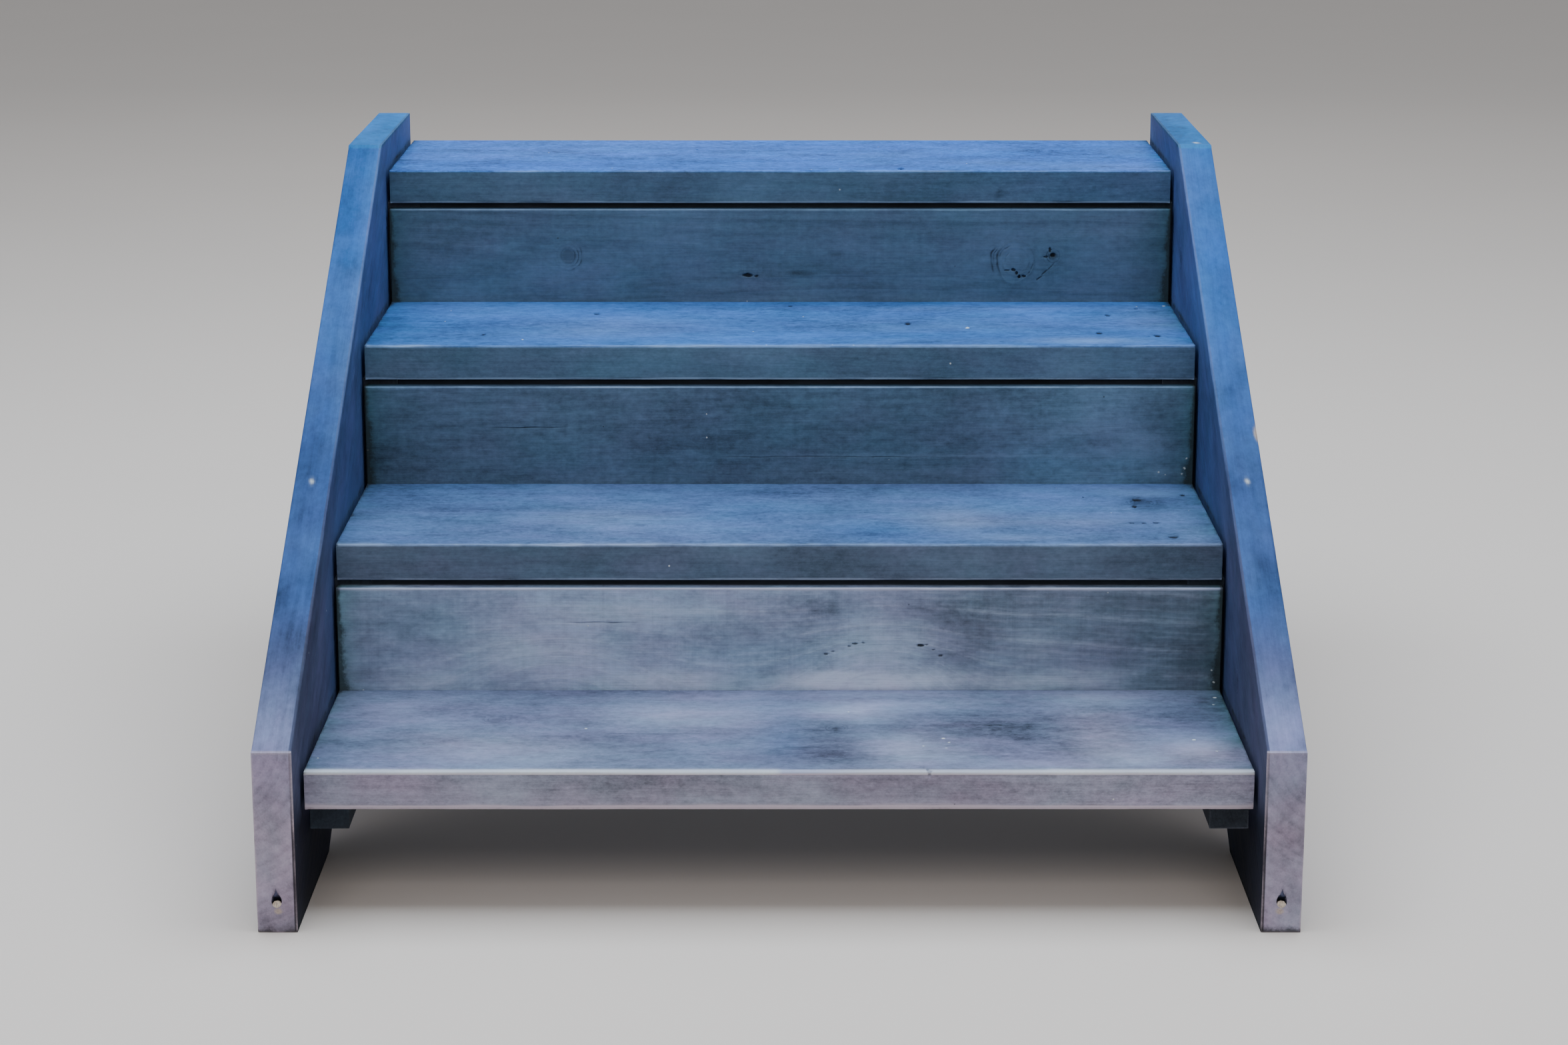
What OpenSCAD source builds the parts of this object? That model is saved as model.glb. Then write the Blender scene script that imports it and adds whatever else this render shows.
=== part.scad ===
// Straight timber deck stair: two solid raking stringers, four thick treads,
// three riser boards that stop short of the tread above, and an open bottom step.
// Origin: centre of the rear face of the top bearer, the face that goes
// against the wall or bank. +X to the right going up, +Y into the bank, +Z up.
// The deck that the feet stand on is at z = deck_z.

/* [Flight] */
// Clear width between the two stringers
clear_width = 1000; // [900:10:1200]
// Height of the lowest tread's top above the deck
first_rise = 159; // [140:1:190]
// Height from each tread's top to the next
rise = 167; // [150:1:190]
// Distance from each nosing to the next
going = 300; // [285:1:308]

/* [Treads] */
// Thickness of a tread
tread_t = 42; // [35:1:50]
// Depth of a tread from nosing to back edge
tread_d = 290; // [285:1:295]
// Gap between a tread's end and the stringer
end_gap = 4; // [2:0.5:6]

/* [Risers] */
// Thickness of a riser board
riser_t = 19; // [15:1:22]
// Height of a riser board
riser_h = 140; // [130:1:150]
// Open gap between a riser's top edge and the tread above
riser_gap = 6; // [3:0.5:10]

/* [Stringers] */
// Thickness of a stringer
stringer_t = 42; // [35:1:50]
// Width of the stringer board, square to its rake
stringer_w = 290; // [270:5:320]
// Height of the plumb front face of a foot
foot_h = 196; // [180:1:215]
// Distance of the lowest nosing behind the feet's front faces
nosing_back = 50; // [30:1:70]
// Height of the level stringer top above the highest tread
top_margin = 37; // [25:1:60]
// Distance of the level top's front corner ahead of the highest nosing
break_ahead = 33; // [15:1:60]

/* [Hidden parts] */
// Width and height of the square battens that carry the treads
cleat = 42; // [35:1:45]
// Distance of a tread batten's front end behind the nosing
cleat_back = 60; // [60:1:90]
// Depth of the upright battens and the rails behind the risers
batten_d = 35; // [20:1:35]
// Height of the rail behind a riser's top edge, under the tread above
rail_h = 60; // [40:5:90]
// Height of the bearer below the highest tread
bearer_h = 90; // [80:1:110]
// Thickness of the bearer
bearer_t = 42; // [35:1:50]

/* [Fixings] */
// Radius of the bolt holes through the bearer
bolt_r = 6.5; // [4:0.5:8]
// Spacing of the four bolt holes
bolt_spacing = 260; // [150:10:280]
// Height above the deck of the skewed screw hole in a foot
skew_z = 35; // [30:1:45]
// Radius of the skewed screw hole
skew_r = 3; // [2:0.5:4]
// Radius of the recess for the screw's head
skew_head_r = 5.5; // [5:0.5:7]
// Depth of that recess along the hole
skew_head_l = 14; // [10:1:18]

/* [Hidden] */
$fn = 64;
steps = 4;
// Run of the whole flight, from the feet's front faces to the rear face
run = nosing_back + (steps - 1) * going + tread_d;
// Height of the highest tread's top above the deck
top_h = first_rise + (steps - 1) * rise;
// Level of the deck below the origin
deck_z = -(top_h - tread_t - bearer_h / 2);
front_y = -run;
half = clear_width / 2;

// Top level and nosing position of tread n, counted from 1 at the bottom
function tread_z(n) = deck_z + first_rise + (n - 1) * rise;
function nosing_y(n) = front_y + nosing_back + (n - 1) * going;

// The stringer's side profile, in (y, z) from the foot's lower front corner
flat_h = top_h + top_margin;
break_y = nosing_back + (steps - 1) * going - break_ahead;
rake = (flat_h - foot_h) / break_y;
plumb_depth = stringer_w * sqrt(1 + rake * rake);
function under_h(y) = foot_h - plumb_depth + rake * y;
heel_y = (plumb_depth - foot_h) / rake;
profile = [
    [0, 0], [heel_y, 0], [run, under_h(run)],
    [run, flat_h], [break_y, flat_h], [0, foot_h]
];

// A raking stringer with a plumb front, a level foot, a level top at the back
// and a plumb rear cut. side is -1 on the left and 1 on the right.
module stringer(side) {
    x0 = side > 0 ? half : -half - stringer_t;
    color([0.17, 0.22, 0.29])
    difference() {
        translate([x0, front_y, deck_z])
            rotate([90, 0, 90])
            linear_extrude(height = stringer_t)
            polygon(profile);
        // Screw hole skewed at 45 degrees, from the front face into the deck
        translate([x0 + stringer_t / 2, front_y, deck_z + skew_z])
            rotate([-135, 0, 0]) {
                translate([0, 0, -30])
                    cylinder(r = skew_r, h = 120 + skew_z);
                translate([0, 0, -30])
                    cylinder(r = skew_head_r, h = 30 + skew_head_l);
            }
    }
}

// Tread n: one thick plank that stops just short of both stringers
module tread(n) {
    color([0.20, 0.26, 0.34])
    translate([-half + end_gap, nosing_y(n), tread_z(n) - tread_t])
        cube([clear_width - 2 * end_gap, tread_d, tread_t]);
}

// Riser n: a board against the back edge of tread n, its face standing a
// little proud of the nosing above, with an open gap over its top edge
module riser(n) {
    color([0.16, 0.21, 0.27])
    translate([-half + end_gap, nosing_y(n) + tread_d,
               tread_z(n + 1) - tread_t - riser_gap - riser_h])
        cube([clear_width - 2 * end_gap, riser_t, riser_h]);
}

// Batten on the stringer's inner face that carries one end of tread n
module tread_batten(side, n) {
    back = n == steps ? tread_d - bearer_t : tread_d - 10;
    color([0.14, 0.17, 0.21])
    translate([side > 0 ? half - cleat : -half,
               nosing_y(n) + cleat_back, tread_z(n) - tread_t - cleat])
        cube([cleat, back - cleat_back, cleat]);
}

// Upright batten behind one end of riser n, up to the underside of the tread above
module riser_batten(side, n) {
    color([0.14, 0.17, 0.21])
    translate([side > 0 ? half - cleat : -half,
               nosing_y(n) + tread_d + riser_t,
               tread_z(n + 1) - tread_t - riser_gap - riser_h])
        cube([cleat, batten_d, riser_h + riser_gap]);
}

// Rail n between those battens: it carries the front of the tread above and
// closes the gap over the riser from behind
module riser_rail(n) {
    color([0.14, 0.17, 0.21])
    translate([-half + cleat, nosing_y(n) + tread_d + riser_t,
               tread_z(n + 1) - tread_t - rail_h])
        cube([clear_width - 2 * cleat, batten_d, rail_h]);
}

// Bearer between the stringers under the back of the highest tread, with
// four bolt holes for fixing the flight to the wall
module back_bearer() {
    color([0.14, 0.17, 0.21])
    difference() {
        translate([-half, -bearer_t, -bearer_h / 2])
            cube([clear_width, bearer_t, bearer_h]);
        for (i = [-1.5, -0.5, 0.5, 1.5])
            translate([i * bolt_spacing, 1, 0])
                rotate([90, 0, 0])
                cylinder(r = bolt_r, h = bearer_t + 2);
    }
}

stringer(-1);  // left_stringer
stringer(1);  // right_stringer
tread(1);  // tread_1
tread(2);  // tread_2
tread(3);  // tread_3
tread(4);  // tread_4
riser(1);  // riser_1
riser(2);  // riser_2
riser(3);  // riser_3
tread_batten(-1, 1);  // tread_batten_left_1
tread_batten(-1, 2);  // tread_batten_left_2
tread_batten(-1, 3);  // tread_batten_left_3
tread_batten(-1, 4);  // tread_batten_left_4
tread_batten(1, 1);  // tread_batten_right_1
tread_batten(1, 2);  // tread_batten_right_2
tread_batten(1, 3);  // tread_batten_right_3
tread_batten(1, 4);  // tread_batten_right_4
riser_batten(-1, 1);  // riser_batten_left_1
riser_batten(-1, 2);  // riser_batten_left_2
riser_batten(-1, 3);  // riser_batten_left_3
riser_batten(1, 1);  // riser_batten_right_1
riser_batten(1, 2);  // riser_batten_right_2
riser_batten(1, 3);  // riser_batten_right_3
riser_rail(1);  // riser_rail_1
riser_rail(2);  // riser_rail_2
riser_rail(3);  // riser_rail_3
back_bearer();
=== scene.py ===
import math

import bpy
import numpy as np
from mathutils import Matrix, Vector


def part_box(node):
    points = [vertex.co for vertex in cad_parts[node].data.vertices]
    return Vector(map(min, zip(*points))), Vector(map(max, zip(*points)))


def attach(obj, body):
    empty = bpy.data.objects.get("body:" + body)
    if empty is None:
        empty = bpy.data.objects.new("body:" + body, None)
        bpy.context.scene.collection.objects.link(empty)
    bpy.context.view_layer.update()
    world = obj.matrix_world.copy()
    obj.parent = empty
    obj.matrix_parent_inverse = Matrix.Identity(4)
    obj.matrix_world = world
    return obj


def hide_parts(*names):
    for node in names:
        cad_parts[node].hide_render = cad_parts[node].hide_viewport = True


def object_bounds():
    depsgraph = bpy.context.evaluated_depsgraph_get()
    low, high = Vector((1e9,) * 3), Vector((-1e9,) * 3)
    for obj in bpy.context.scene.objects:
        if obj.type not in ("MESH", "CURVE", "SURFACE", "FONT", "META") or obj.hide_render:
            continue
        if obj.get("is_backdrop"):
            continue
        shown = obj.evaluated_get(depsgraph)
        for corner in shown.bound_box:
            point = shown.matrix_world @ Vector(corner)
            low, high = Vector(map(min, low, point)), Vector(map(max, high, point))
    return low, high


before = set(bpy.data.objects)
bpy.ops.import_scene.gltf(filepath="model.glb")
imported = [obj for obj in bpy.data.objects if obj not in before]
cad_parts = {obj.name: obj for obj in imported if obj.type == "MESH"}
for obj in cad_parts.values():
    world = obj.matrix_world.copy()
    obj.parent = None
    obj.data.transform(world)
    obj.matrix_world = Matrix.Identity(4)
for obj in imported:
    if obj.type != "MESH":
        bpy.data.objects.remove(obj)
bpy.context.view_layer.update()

# ---------------------------------------------------------------------------
# Sizes, from the frame
# ---------------------------------------------------------------------------
MM = 0.001


def box(node):
    lo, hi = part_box(node)
    return np.array(lo, float), np.array(hi, float)


R_LO, R_HI = box("right_stringer")
L_LO, L_HI = box("left_stringer")
DECK = float(R_LO[2])
FRONT = float(R_LO[1])
REAR = float(R_HI[1])
STR_T = float(R_HI[0] - R_LO[0])
FLAT_H = float(R_HI[2] - R_LO[2])
RUN = REAR - FRONT
HALF = float(R_LO[0])
TREADS = [box("tread_%d" % n) for n in (1, 2, 3, 4)]
RISERS = [box("riser_%d" % n) for n in (1, 2, 3)]
FOOT_H = 196 * MM
BREAK_Y = 917 * MM
STR_W = 290 * MM
RAKE = (FLAT_H - FOOT_H) / BREAK_Y
THETA = math.atan(RAKE)
CO, SI = math.cos(THETA), math.sin(THETA)

# ---------------------------------------------------------------------------
# Noise, the same on every run
# ---------------------------------------------------------------------------


def _hash(i, j, k, seed):
    with np.errstate(over="ignore"):
        h = (
            (i.astype(np.uint32) * np.uint32(0x8DA6B343))
            ^ (j.astype(np.uint32) * np.uint32(0xD8163841))
            ^ (k.astype(np.uint32) * np.uint32(0xCB1AB31F))
        )
        h = h ^ np.uint32((seed * 0x9E3779B1 + 0x7F4A7C15) & 0xFFFFFFFF)
        h ^= h >> np.uint32(16)
        h *= np.uint32(0x85EBCA6B)
        h ^= h >> np.uint32(13)
        h *= np.uint32(0xC2B2AE35)
        h ^= h >> np.uint32(16)
    return h.astype(np.float64) / 2147483647.5 - 1.0


def noise(x, y, z, seed=0):
    """Smooth value noise from -1 to 1."""
    x, y, z = np.broadcast_arrays(
        np.asarray(x, float), np.asarray(y, float), np.asarray(z, float)
    )
    i, j, k = np.floor(x), np.floor(y), np.floor(z)
    fx, fy, fz = x - i, y - j, z - k
    i, j, k = i.astype(np.int64), j.astype(np.int64), k.astype(np.int64)
    u, v, w = (f * f * f * (f * (f * 6 - 15) + 10) for f in (fx, fy, fz))
    out = 0
    for a in (0, 1):
        for b in (0, 1):
            for c in (0, 1):
                wt = (u if a else 1 - u) * (v if b else 1 - v) * (w if c else 1 - w)
                out = out + wt * _hash(i + a, j + b, k + c, seed)
    return out


def fbm(x, y, z, octaves=3, seed=0):
    out, amp, tot = 0, 1.0, 0.0
    for o in range(octaves):
        f = 2.03**o
        out = out + amp * noise(x * f + 11.3 * o, y * f - 7.7 * o, z * f + 3.1 * o, seed + 17 * o)
        tot += amp
        amp *= 0.5
    return out / tot


def ss(a, b, x):
    """Smooth step from 0 at a to 1 at b."""
    t = np.clip((x - a) / (b - a), 0, 1)
    return t * t * (3 - 2 * t)


# ---------------------------------------------------------------------------
# Lattices: the closed surface of a board as rows and columns that follow the
# grain, denser at arrises, knots, checks and screws
# ---------------------------------------------------------------------------
EDGE = [0, 0.7, 1.6, 2.6, 3.6, 5.5]


def lines(length, step, extras=()):
    """Positions from 0 to length in metres: close together at both ends and round the extras."""
    L = length / MM
    ends = [e for e in EDGE if e < L / 2 - 0.6]
    base = set(ends) | set(L - e for e in ends)
    a, b = ends[-1], L - ends[-1]
    n = max(1, int(round((b - a) / step)))
    mid = [a + (b - a) * i / n for i in range(1, n)]
    near = sorted(x for x in extras if EDGE[-1] < x < L - EDGE[-1])
    pts = sorted(base) + near
    out = sorted(pts)
    for m in mid:
        if min(abs(m - p) for p in out) > 0.45 * step or not near:
            if all(abs(m - p) > 0.3 * step for p in near):
                out.append(m)
    out = sorted(out)
    kept = [out[0]]
    for p in out[1:]:
        if p - kept[-1] > 0.28:
            kept.append(p)
    kept[-1] = L
    return np.array(kept) * MM


def around(c, offsets):
    """Lines in millimetres round c."""
    return [c + o for o in offsets] + [c - o for o in offsets if o]


def thinned(v, step):
    """Indices of the lines that a hidden face keeps inside its arrises, step millimetres apart or more."""
    a, b = len(EDGE) - 1, len(v) - len(EDGE)
    keep = [a]
    for i in range(a + 1, b):
        if v[i] - v[keep[-1]] >= step * MM and v[b] - v[i] >= 0.6 * step * MM:
            keep.append(i)
    return keep + [b]


def wide_faces(last, A, B):
    """Faces over a layer that use only the rows A and columns B inside, and every point along the border."""
    out = []
    for p in range(len(A) - 1):
        for q in range(len(B) - 1):
            i0, i1, j0, j1 = A[p], A[p + 1], B[q], B[q + 1]
            loop = [last[i, j0] for i in (range(i0, i1) if q == 0 else [i0])]
            loop += [last[i1, j] for j in (range(j0, j1) if p == len(A) - 2 else [j0])]
            loop += [last[i, j1] for i in (range(i1, i0, -1) if q == len(B) - 2 else [i1])]
            loop += [last[i0, j] for j in (range(j1, j0, -1) if p == 0 else [j1])]
            if len(loop) > 4 and i1 - i0 > 1 and j1 - j0 > 1:
                c = last[(i0 + i1) // 2, (j0 + j1) // 2]
                out += [[loop[k - 1], loop[k], c] for k in range(len(loop))]
            else:
                out.append(loop)
    return out


def lattice(nx, ny, nz, back=None):
    """ijk of the surface points of a lattice, and its outward faces. back is the rows and columns that its last layer keeps."""
    I, J, K = np.meshgrid(np.arange(nx), np.arange(ny), np.arange(nz), indexing="ij")
    m = (I == 0) | (I == nx - 1) | (J == 0) | (J == ny - 1) | (K == 0) | (K == nz - 1)
    ids = -np.ones((nx, ny, nz), np.int64)
    ids[m] = np.arange(m.sum())
    ijk = np.stack([I[m], J[m], K[m]], 1)

    def quads(a, flip):
        q = np.stack(
            [a[:-1, :-1].ravel(), a[1:, :-1].ravel(), a[1:, 1:].ravel(), a[:-1, 1:].ravel()],
            1,
        )
        return q[:, ::-1] if flip else q

    last = ids[:, :, -1]
    f = [
        quads(ids[:, :, 0], True),
        quads(ids[:, 0, :], False),
        quads(ids[:, -1, :], True),
        quads(ids[0, :, :], True),
        quads(ids[-1, :, :], False),
    ]
    if back is None:
        return ijk, np.concatenate(f + [quads(last, False)]).tolist()
    A, B = back
    rows = last[A[0] : A[-1] + 1]
    f += [quads(last[: A[0] + 1], False), quads(last[A[-1] :], False), quads(rows[:, : B[0] + 1], False), quads(rows[:, B[-1] :], False)]
    faces = np.concatenate(f).tolist() + [[int(v) for v in q] for q in wide_faces(last, A, B)]
    used = np.unique(np.array([v for q in faces for v in q]))
    to = np.full(len(ijk), -1)
    to[used] = np.arange(len(used))
    return ijk[used], [[int(to[v]) for v in q] for q in faces]


# ---------------------------------------------------------------------------
# Wood: growth rings round a pith, bent round knots
# ---------------------------------------------------------------------------


class Wood:
    """Ring count at a point of a board. L runs along the grain, W across the face and T into the board, in metres."""

    def __init__(self, seed, pith, spacing=0.0052, taper=0.02, knots=(), bow=0.012, swells=(), vary=0.35):
        self.vary = vary
        self.seed, self.pith, self.spacing = seed, pith, spacing
        self.taper, self.knots, self.bow, self.swells = taper, knots, bow, swells

    def rings(self, L, W, T):
        s = self.seed
        w0 = self.pith[0] + self.bow * noise(L * 1.4, 0, 0, s + 3)
        t0 = self.pith[1] + self.taper * L + 0.6 * self.bow * noise(L * 2.1, 0, 0, s + 4)
        rho = np.sqrt((W - w0) ** 2 + (T - t0) ** 2)
        rho = rho + 0.0028 * fbm(L * 2.2, W * 9, T * 9, 2, s + 5)
        ph = rho / self.spacing
        ph = ph + self.vary * noise(rho * 60, 0, 0, s + 6)
        # the grain bows round something under the face: (L, W, along, across, rings)
        for l, w, a, b, n in self.swells:
            ph = ph + n * np.exp(-(((L - l) / a) ** 2) - ((W - w) / b) ** 2)
        for k in self.knots:
            d = np.sqrt(((L - k["L"]) / k.get("long", 1.0)) ** 2 + (W - k["W"]) ** 2)
            d = d * (1 + 0.10 * noise(L * 42, W * 42, 0, s + 7))
            ph = ph + k.get("rings", 2.5) * (1 - ss(k["r"] * k.get("inner", 0.6), k["r"] * k.get("outer", 2.2), d))
        return ph

    def near_knot(self, L, W):
        m = np.zeros_like(L)
        for k in self.knots:
            d = np.sqrt(((L - k["L"]) / k.get("long", 1.0)) ** 2 + (W - k["W"]) ** 2)
            reach = k["r"] * k.get("outer", 2.2)
            on = k.get("clear", 0.6) * (1 - ss(reach * 0.85, reach * 1.15, d))
            if "side" in k:
                # the rings show on one side of the knot and die away round it
                a = np.arctan2(W - k["W"], L - k["L"]) - math.radians(k["side"])
                on = on * (0.10 + 0.90 * ss(0.15, 0.90, np.cos(a))) * (0.75 + 0.5 * noise(L * 130, W * 130, 0, self.seed + 41))
            m = np.maximum(m, on)
        return m

    def knot_mask(self, L, W, T):
        m = np.zeros_like(L)
        for k in self.knots:
            a = np.arctan2(W - k["W"], L - k["L"])
            core = k["r"] * k.get("core", 1.0)
            rr = core * (1 + 0.18 * noise(np.cos(a) * 1.6, np.sin(a) * 1.6, 0, self.seed + 40))
            d = np.sqrt((L - k["L"]) ** 2 + (W - k["W"]) ** 2)
            m = np.maximum(m, k.get("dark", 1.0) * (1 - ss(rr * 0.75, rr * 1.15, d)))
        return m


def blobs(spots, x, w, rough):
    """Sum of soft patches: spots are (x, w in mm, half-width, half-height in mm, amount)."""
    out = np.zeros_like(x)
    for bx, bw, sx, sw, amt in spots:
        d = ((x - bx) / sx) ** 2 + ((w - bw * MM) / (sw * MM)) ** 2
        out = out + amt * np.exp(-d) * (1 - 0.45 * rough + 0.9 * rough * rough)
    return out


# ---------------------------------------------------------------------------
# Features cut into a face: pits, dents, checks, screw pockets
# ---------------------------------------------------------------------------


def cut_depth(features, L, W, T, t, seed):
    """(inward depth in metres, mask of painted shade in the recesses, pale spot mask) of the features on the show face
    T=0, or on T=t where back is set.
    """
    dep, groove, spot = np.zeros_like(L), np.zeros_like(L), np.zeros_like(L)
    for n, f in enumerate(features):
        near = (T < 4 * MM) if not f.get("back") else (T > t - 4 * MM)
        if not near.any():
            continue
        l, w = L[near], W[near]
        if f["kind"] == "check":
            half = f["len"] * MM / 2
            x = (l - f["L"]) / half
            line = f["W"] + f.get("slant", 0) * (l - f["L"]) + 0.7 * MM * noise(l * 55, 0, 0, seed + 60 + n)
            env = np.sqrt(np.clip(1 - x * x, 0, 1)) * (0.65 + 0.35 * noise(l * 90, 1, 0, seed + 61 + n))
            g = np.clip(1 - np.abs(w - line) / (f["wide"] * MM), 0, 1) * env
            dep[near] = np.maximum(dep[near], g * f["deep"] * MM)
            groove[near] = np.maximum(groove[near], np.clip(g * 1.6, 0, 1))
        elif f["kind"] in ("pit", "dent"):
            a = np.arctan2(w - f["W"], l - f["L"])
            rr = f["r"] * MM * (1 + 0.25 * noise(np.cos(a) * 1.3, np.sin(a) * 1.3, n, seed + 70))
            d = np.sqrt(((l - f["L"]) / f.get("long", 1.0)) ** 2 + ((w - f["W"]) / f.get("deepw", 1.0)) ** 2) / rr
            g = np.clip(1 - d * d, 0, 1)
            if f["kind"] == "pit":
                g = ss(0, 0.45, g)
            dep[near] = np.maximum(dep[near], g * f["deep"] * MM)
            groove[near] = np.maximum(groove[near], g * f.get("dark", 1.0))
        elif f["kind"] == "spot":
            a = np.arctan2(w - f["W"], l - f["L"])
            rr = f["r"] * MM * (1 + 0.3 * noise(np.cos(a) * 1.3, np.sin(a) * 1.3, n, seed + 90))
            d = np.sqrt((l - f["L"]) ** 2 + ((w - f["W"]) / f.get("deepw", 1.0)) ** 2) / rr
            spot[near] = np.maximum(spot[near], f["dark"] * (1 - ss(0.55, 1.0, d)))
        elif f["kind"] == "arc":
            # one raised ring's shadow line: part of a circle, thinning out at both ends
            a = np.degrees(np.arctan2(w - f["W"], l - f["L"]))
            a = (a - f["mid"] + 180) % 360 - 180
            rr = f["r"] * MM * (1 + 0.035 * noise(a / 14, n, 0, seed + 80))
            d = np.abs(np.sqrt((l - f["L"]) ** 2 + (w - f["W"]) ** 2) - rr) / (f["wide"] * MM)
            g = np.clip(1 - d, 0, 1) * ss(1.0, 0.45, np.abs(a) / f["half"]) * (0.75 + 0.4 * noise(a / 9, n, 1, seed + 81))
            dep[near] = np.maximum(dep[near], g * f["deep"] * MM)
            groove[near] = np.maximum(groove[near], np.clip(g * f["dark"], 0, 1))
        elif f["kind"] == "screw":
            d = np.sqrt((l - f["L"]) ** 2 + (w - f["W"]) ** 2) / MM
            g = 1 - ss(4.3, 5.6, d)
            dep[near] = np.maximum(dep[near], g * f.get("deep", 1.3) * MM)
            groove[near] = np.maximum(groove[near], 0.40 * (ss(3.4, 4.2, d) * (1 - ss(4.6, 6.0, d))))
    return dep, groove, spot


# ---------------------------------------------------------------------------
# Meshes
# ---------------------------------------------------------------------------


def new_mesh(name, verts, faces, mats=None):
    me = bpy.data.meshes.new(name)
    me.from_pydata(verts.tolist(), [], faces if isinstance(faces, list) else faces.tolist())
    if mats is not None:
        me.polygons.foreach_set("material_index", np.asarray(mats, np.int32))
    me.validate()
    me.update()
    return me


def new_object(name, me):
    ob = bpy.data.objects.new(name, me)
    bpy.context.scene.collection.objects.link(ob)
    return ob


def coords(me):
    co = np.zeros(len(me.vertices) * 3, np.float32)
    me.vertices.foreach_get("co", co)
    return co.reshape(-1, 3).astype(float)


def set_vector(me, name, a, b, c):
    at = me.attributes.get(name) or me.attributes.new(name, "FLOAT_VECTOR", "POINT")
    at.data.foreach_set("vector", np.stack([a, b, c], 1).astype(np.float32).ravel())


def lathe(profile, origin, axis, segments=40):
    """A closed solid of revolution. profile is [(along axis, radius)], from one end to the other; radius 0 closes it."""
    axis = np.array(axis, float) / np.linalg.norm(axis)
    ref = np.array([1.0, 0, 0]) if abs(axis[0]) < 0.9 else np.array([0, 1.0, 0])
    e1 = np.cross(axis, ref)
    e1 /= np.linalg.norm(e1)
    e2 = np.cross(axis, e1)
    V, F, rings = [], [], []
    for h, r in profile:
        if r == 0:
            rings.append([len(V)])
            V.append(np.array(origin) + axis * h)
        else:
            ring = []
            for s in range(segments):
                a = 2 * math.pi * s / segments
                ring.append(len(V))
                V.append(np.array(origin) + axis * h + r * (math.cos(a) * e1 + math.sin(a) * e2))
            rings.append(ring)
    for a, b in zip(rings[:-1], rings[1:]):
        if len(a) == 1 and len(b) == 1:
            continue
        if len(a) == 1:
            F += [[a[0], b[(s + 1) % segments], b[s]] for s in range(segments)]
        elif len(b) == 1:
            F += [[a[s], a[(s + 1) % segments], b[0]] for s in range(segments)]
        else:
            F += [
                [a[s], a[(s + 1) % segments], b[(s + 1) % segments], b[s]]
                for s in range(segments)
            ]
    V = np.array(V)
    # outward faces: the signed volume decides
    vol = 0.0
    for f in F:
        p = V[f[0]]
        for m in range(1, len(f) - 1):
            vol += np.dot(p, np.cross(V[f[m]], V[f[m + 1]]))
    if vol < 0:
        F = [f[::-1] for f in F]
    return V, F


def boolean(ob, cutters, solver="EXACT"):
    """Cuts solids out of ob's mesh and applies it."""
    made = []
    for n, (V, F) in enumerate(cutters):
        c = new_object("cutter_%d" % n, new_mesh("cutter", V, F))
        m = ob.modifiers.new("cut%d" % n, "BOOLEAN")
        m.operation, m.object, m.solver = "DIFFERENCE", c, solver
        made.append(c)
    dg = bpy.context.evaluated_depsgraph_get()
    dg.update()
    me = bpy.data.meshes.new_from_object(ob.evaluated_get(dg))
    ob.modifiers.clear()
    old = ob.data
    ob.data = me
    bpy.data.meshes.remove(old)
    for c in made:
        cm = c.data
        bpy.data.objects.remove(c)
        bpy.data.meshes.remove(cm)
    return ob


# ---------------------------------------------------------------------------
# Screws: a countersunk head with a square recess, its top just under the face
# ---------------------------------------------------------------------------


def screw_parts(at, out, sink=0.7, r=4.0, turn=0.3):
    """Vertices and faces of one head, at a point on the face, with out the face's outward normal."""
    out = np.array(out, float)
    ref = np.array([0.0, 0, 1]) if abs(out[2]) < 0.9 else np.array([1.0, 0, 0])
    e1 = np.cross(out, ref)
    e1 /= np.linalg.norm(e1)
    e2 = np.cross(out, e1)
    c, s = math.cos(turn), math.sin(turn)
    e1, e2 = c * e1 + s * e2, -s * e1 + c * e2
    seg = 24
    top = -sink * MM

    def ring(rad, h, square=0.0):
        pts = []
        for i in range(seg):
            a = 2 * math.pi * (i + 0.5) / seg
            ca, sa = math.cos(a), math.sin(a)
            k = 1.0 / max(abs(ca), abs(sa))
            q = (1 - square) + square * k
            pts.append(at + out * h + rad * MM * q * (ca * e1 + sa * e2))
        return pts

    prof = [
        (r * 0.62, top - 3.0 * MM, 0),
        (r, top - 0.55 * MM, 0),
        (r, top - 0.12 * MM, 0),
        (r * 0.94, top, 0),
        (r * 0.6, top + 0.06 * MM, 0),
        (1.45, top + 0.08 * MM, 1),
        (1.32, top - 0.05 * MM, 1),
        (1.2, top - 1.6 * MM, 1),
    ]
    V, F = [], []
    for rad, h, sq in prof:
        V += ring(rad, h, sq)
    for a in range(len(prof) - 1):
        for i in range(seg):
            j = (i + 1) % seg
            F.append([a * seg + i, a * seg + j, (a + 1) * seg + j, (a + 1) * seg + i])
    V.append(at + out * (top - 3.0 * MM))
    V.append(at + out * (top - 1.6 * MM))
    n0, n1 = len(V) - 2, len(V) - 1
    last = (len(prof) - 1) * seg
    for i in range(seg):
        j = (i + 1) % seg
        F.append([n0, j, i])
        F.append([last + i, last + j, n1])
    V = np.array(V)
    vol = 0.0
    for f in F:
        p = V[f[0]] - at
        for m in range(1, len(f) - 1):
            vol += np.dot(p, np.cross(V[f[m]] - at, V[f[m + 1]] - at))
    if vol < 0:
        F = [f[::-1] for f in F]
    return V, F


# ---------------------------------------------------------------------------
# A board
# ---------------------------------------------------------------------------


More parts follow.
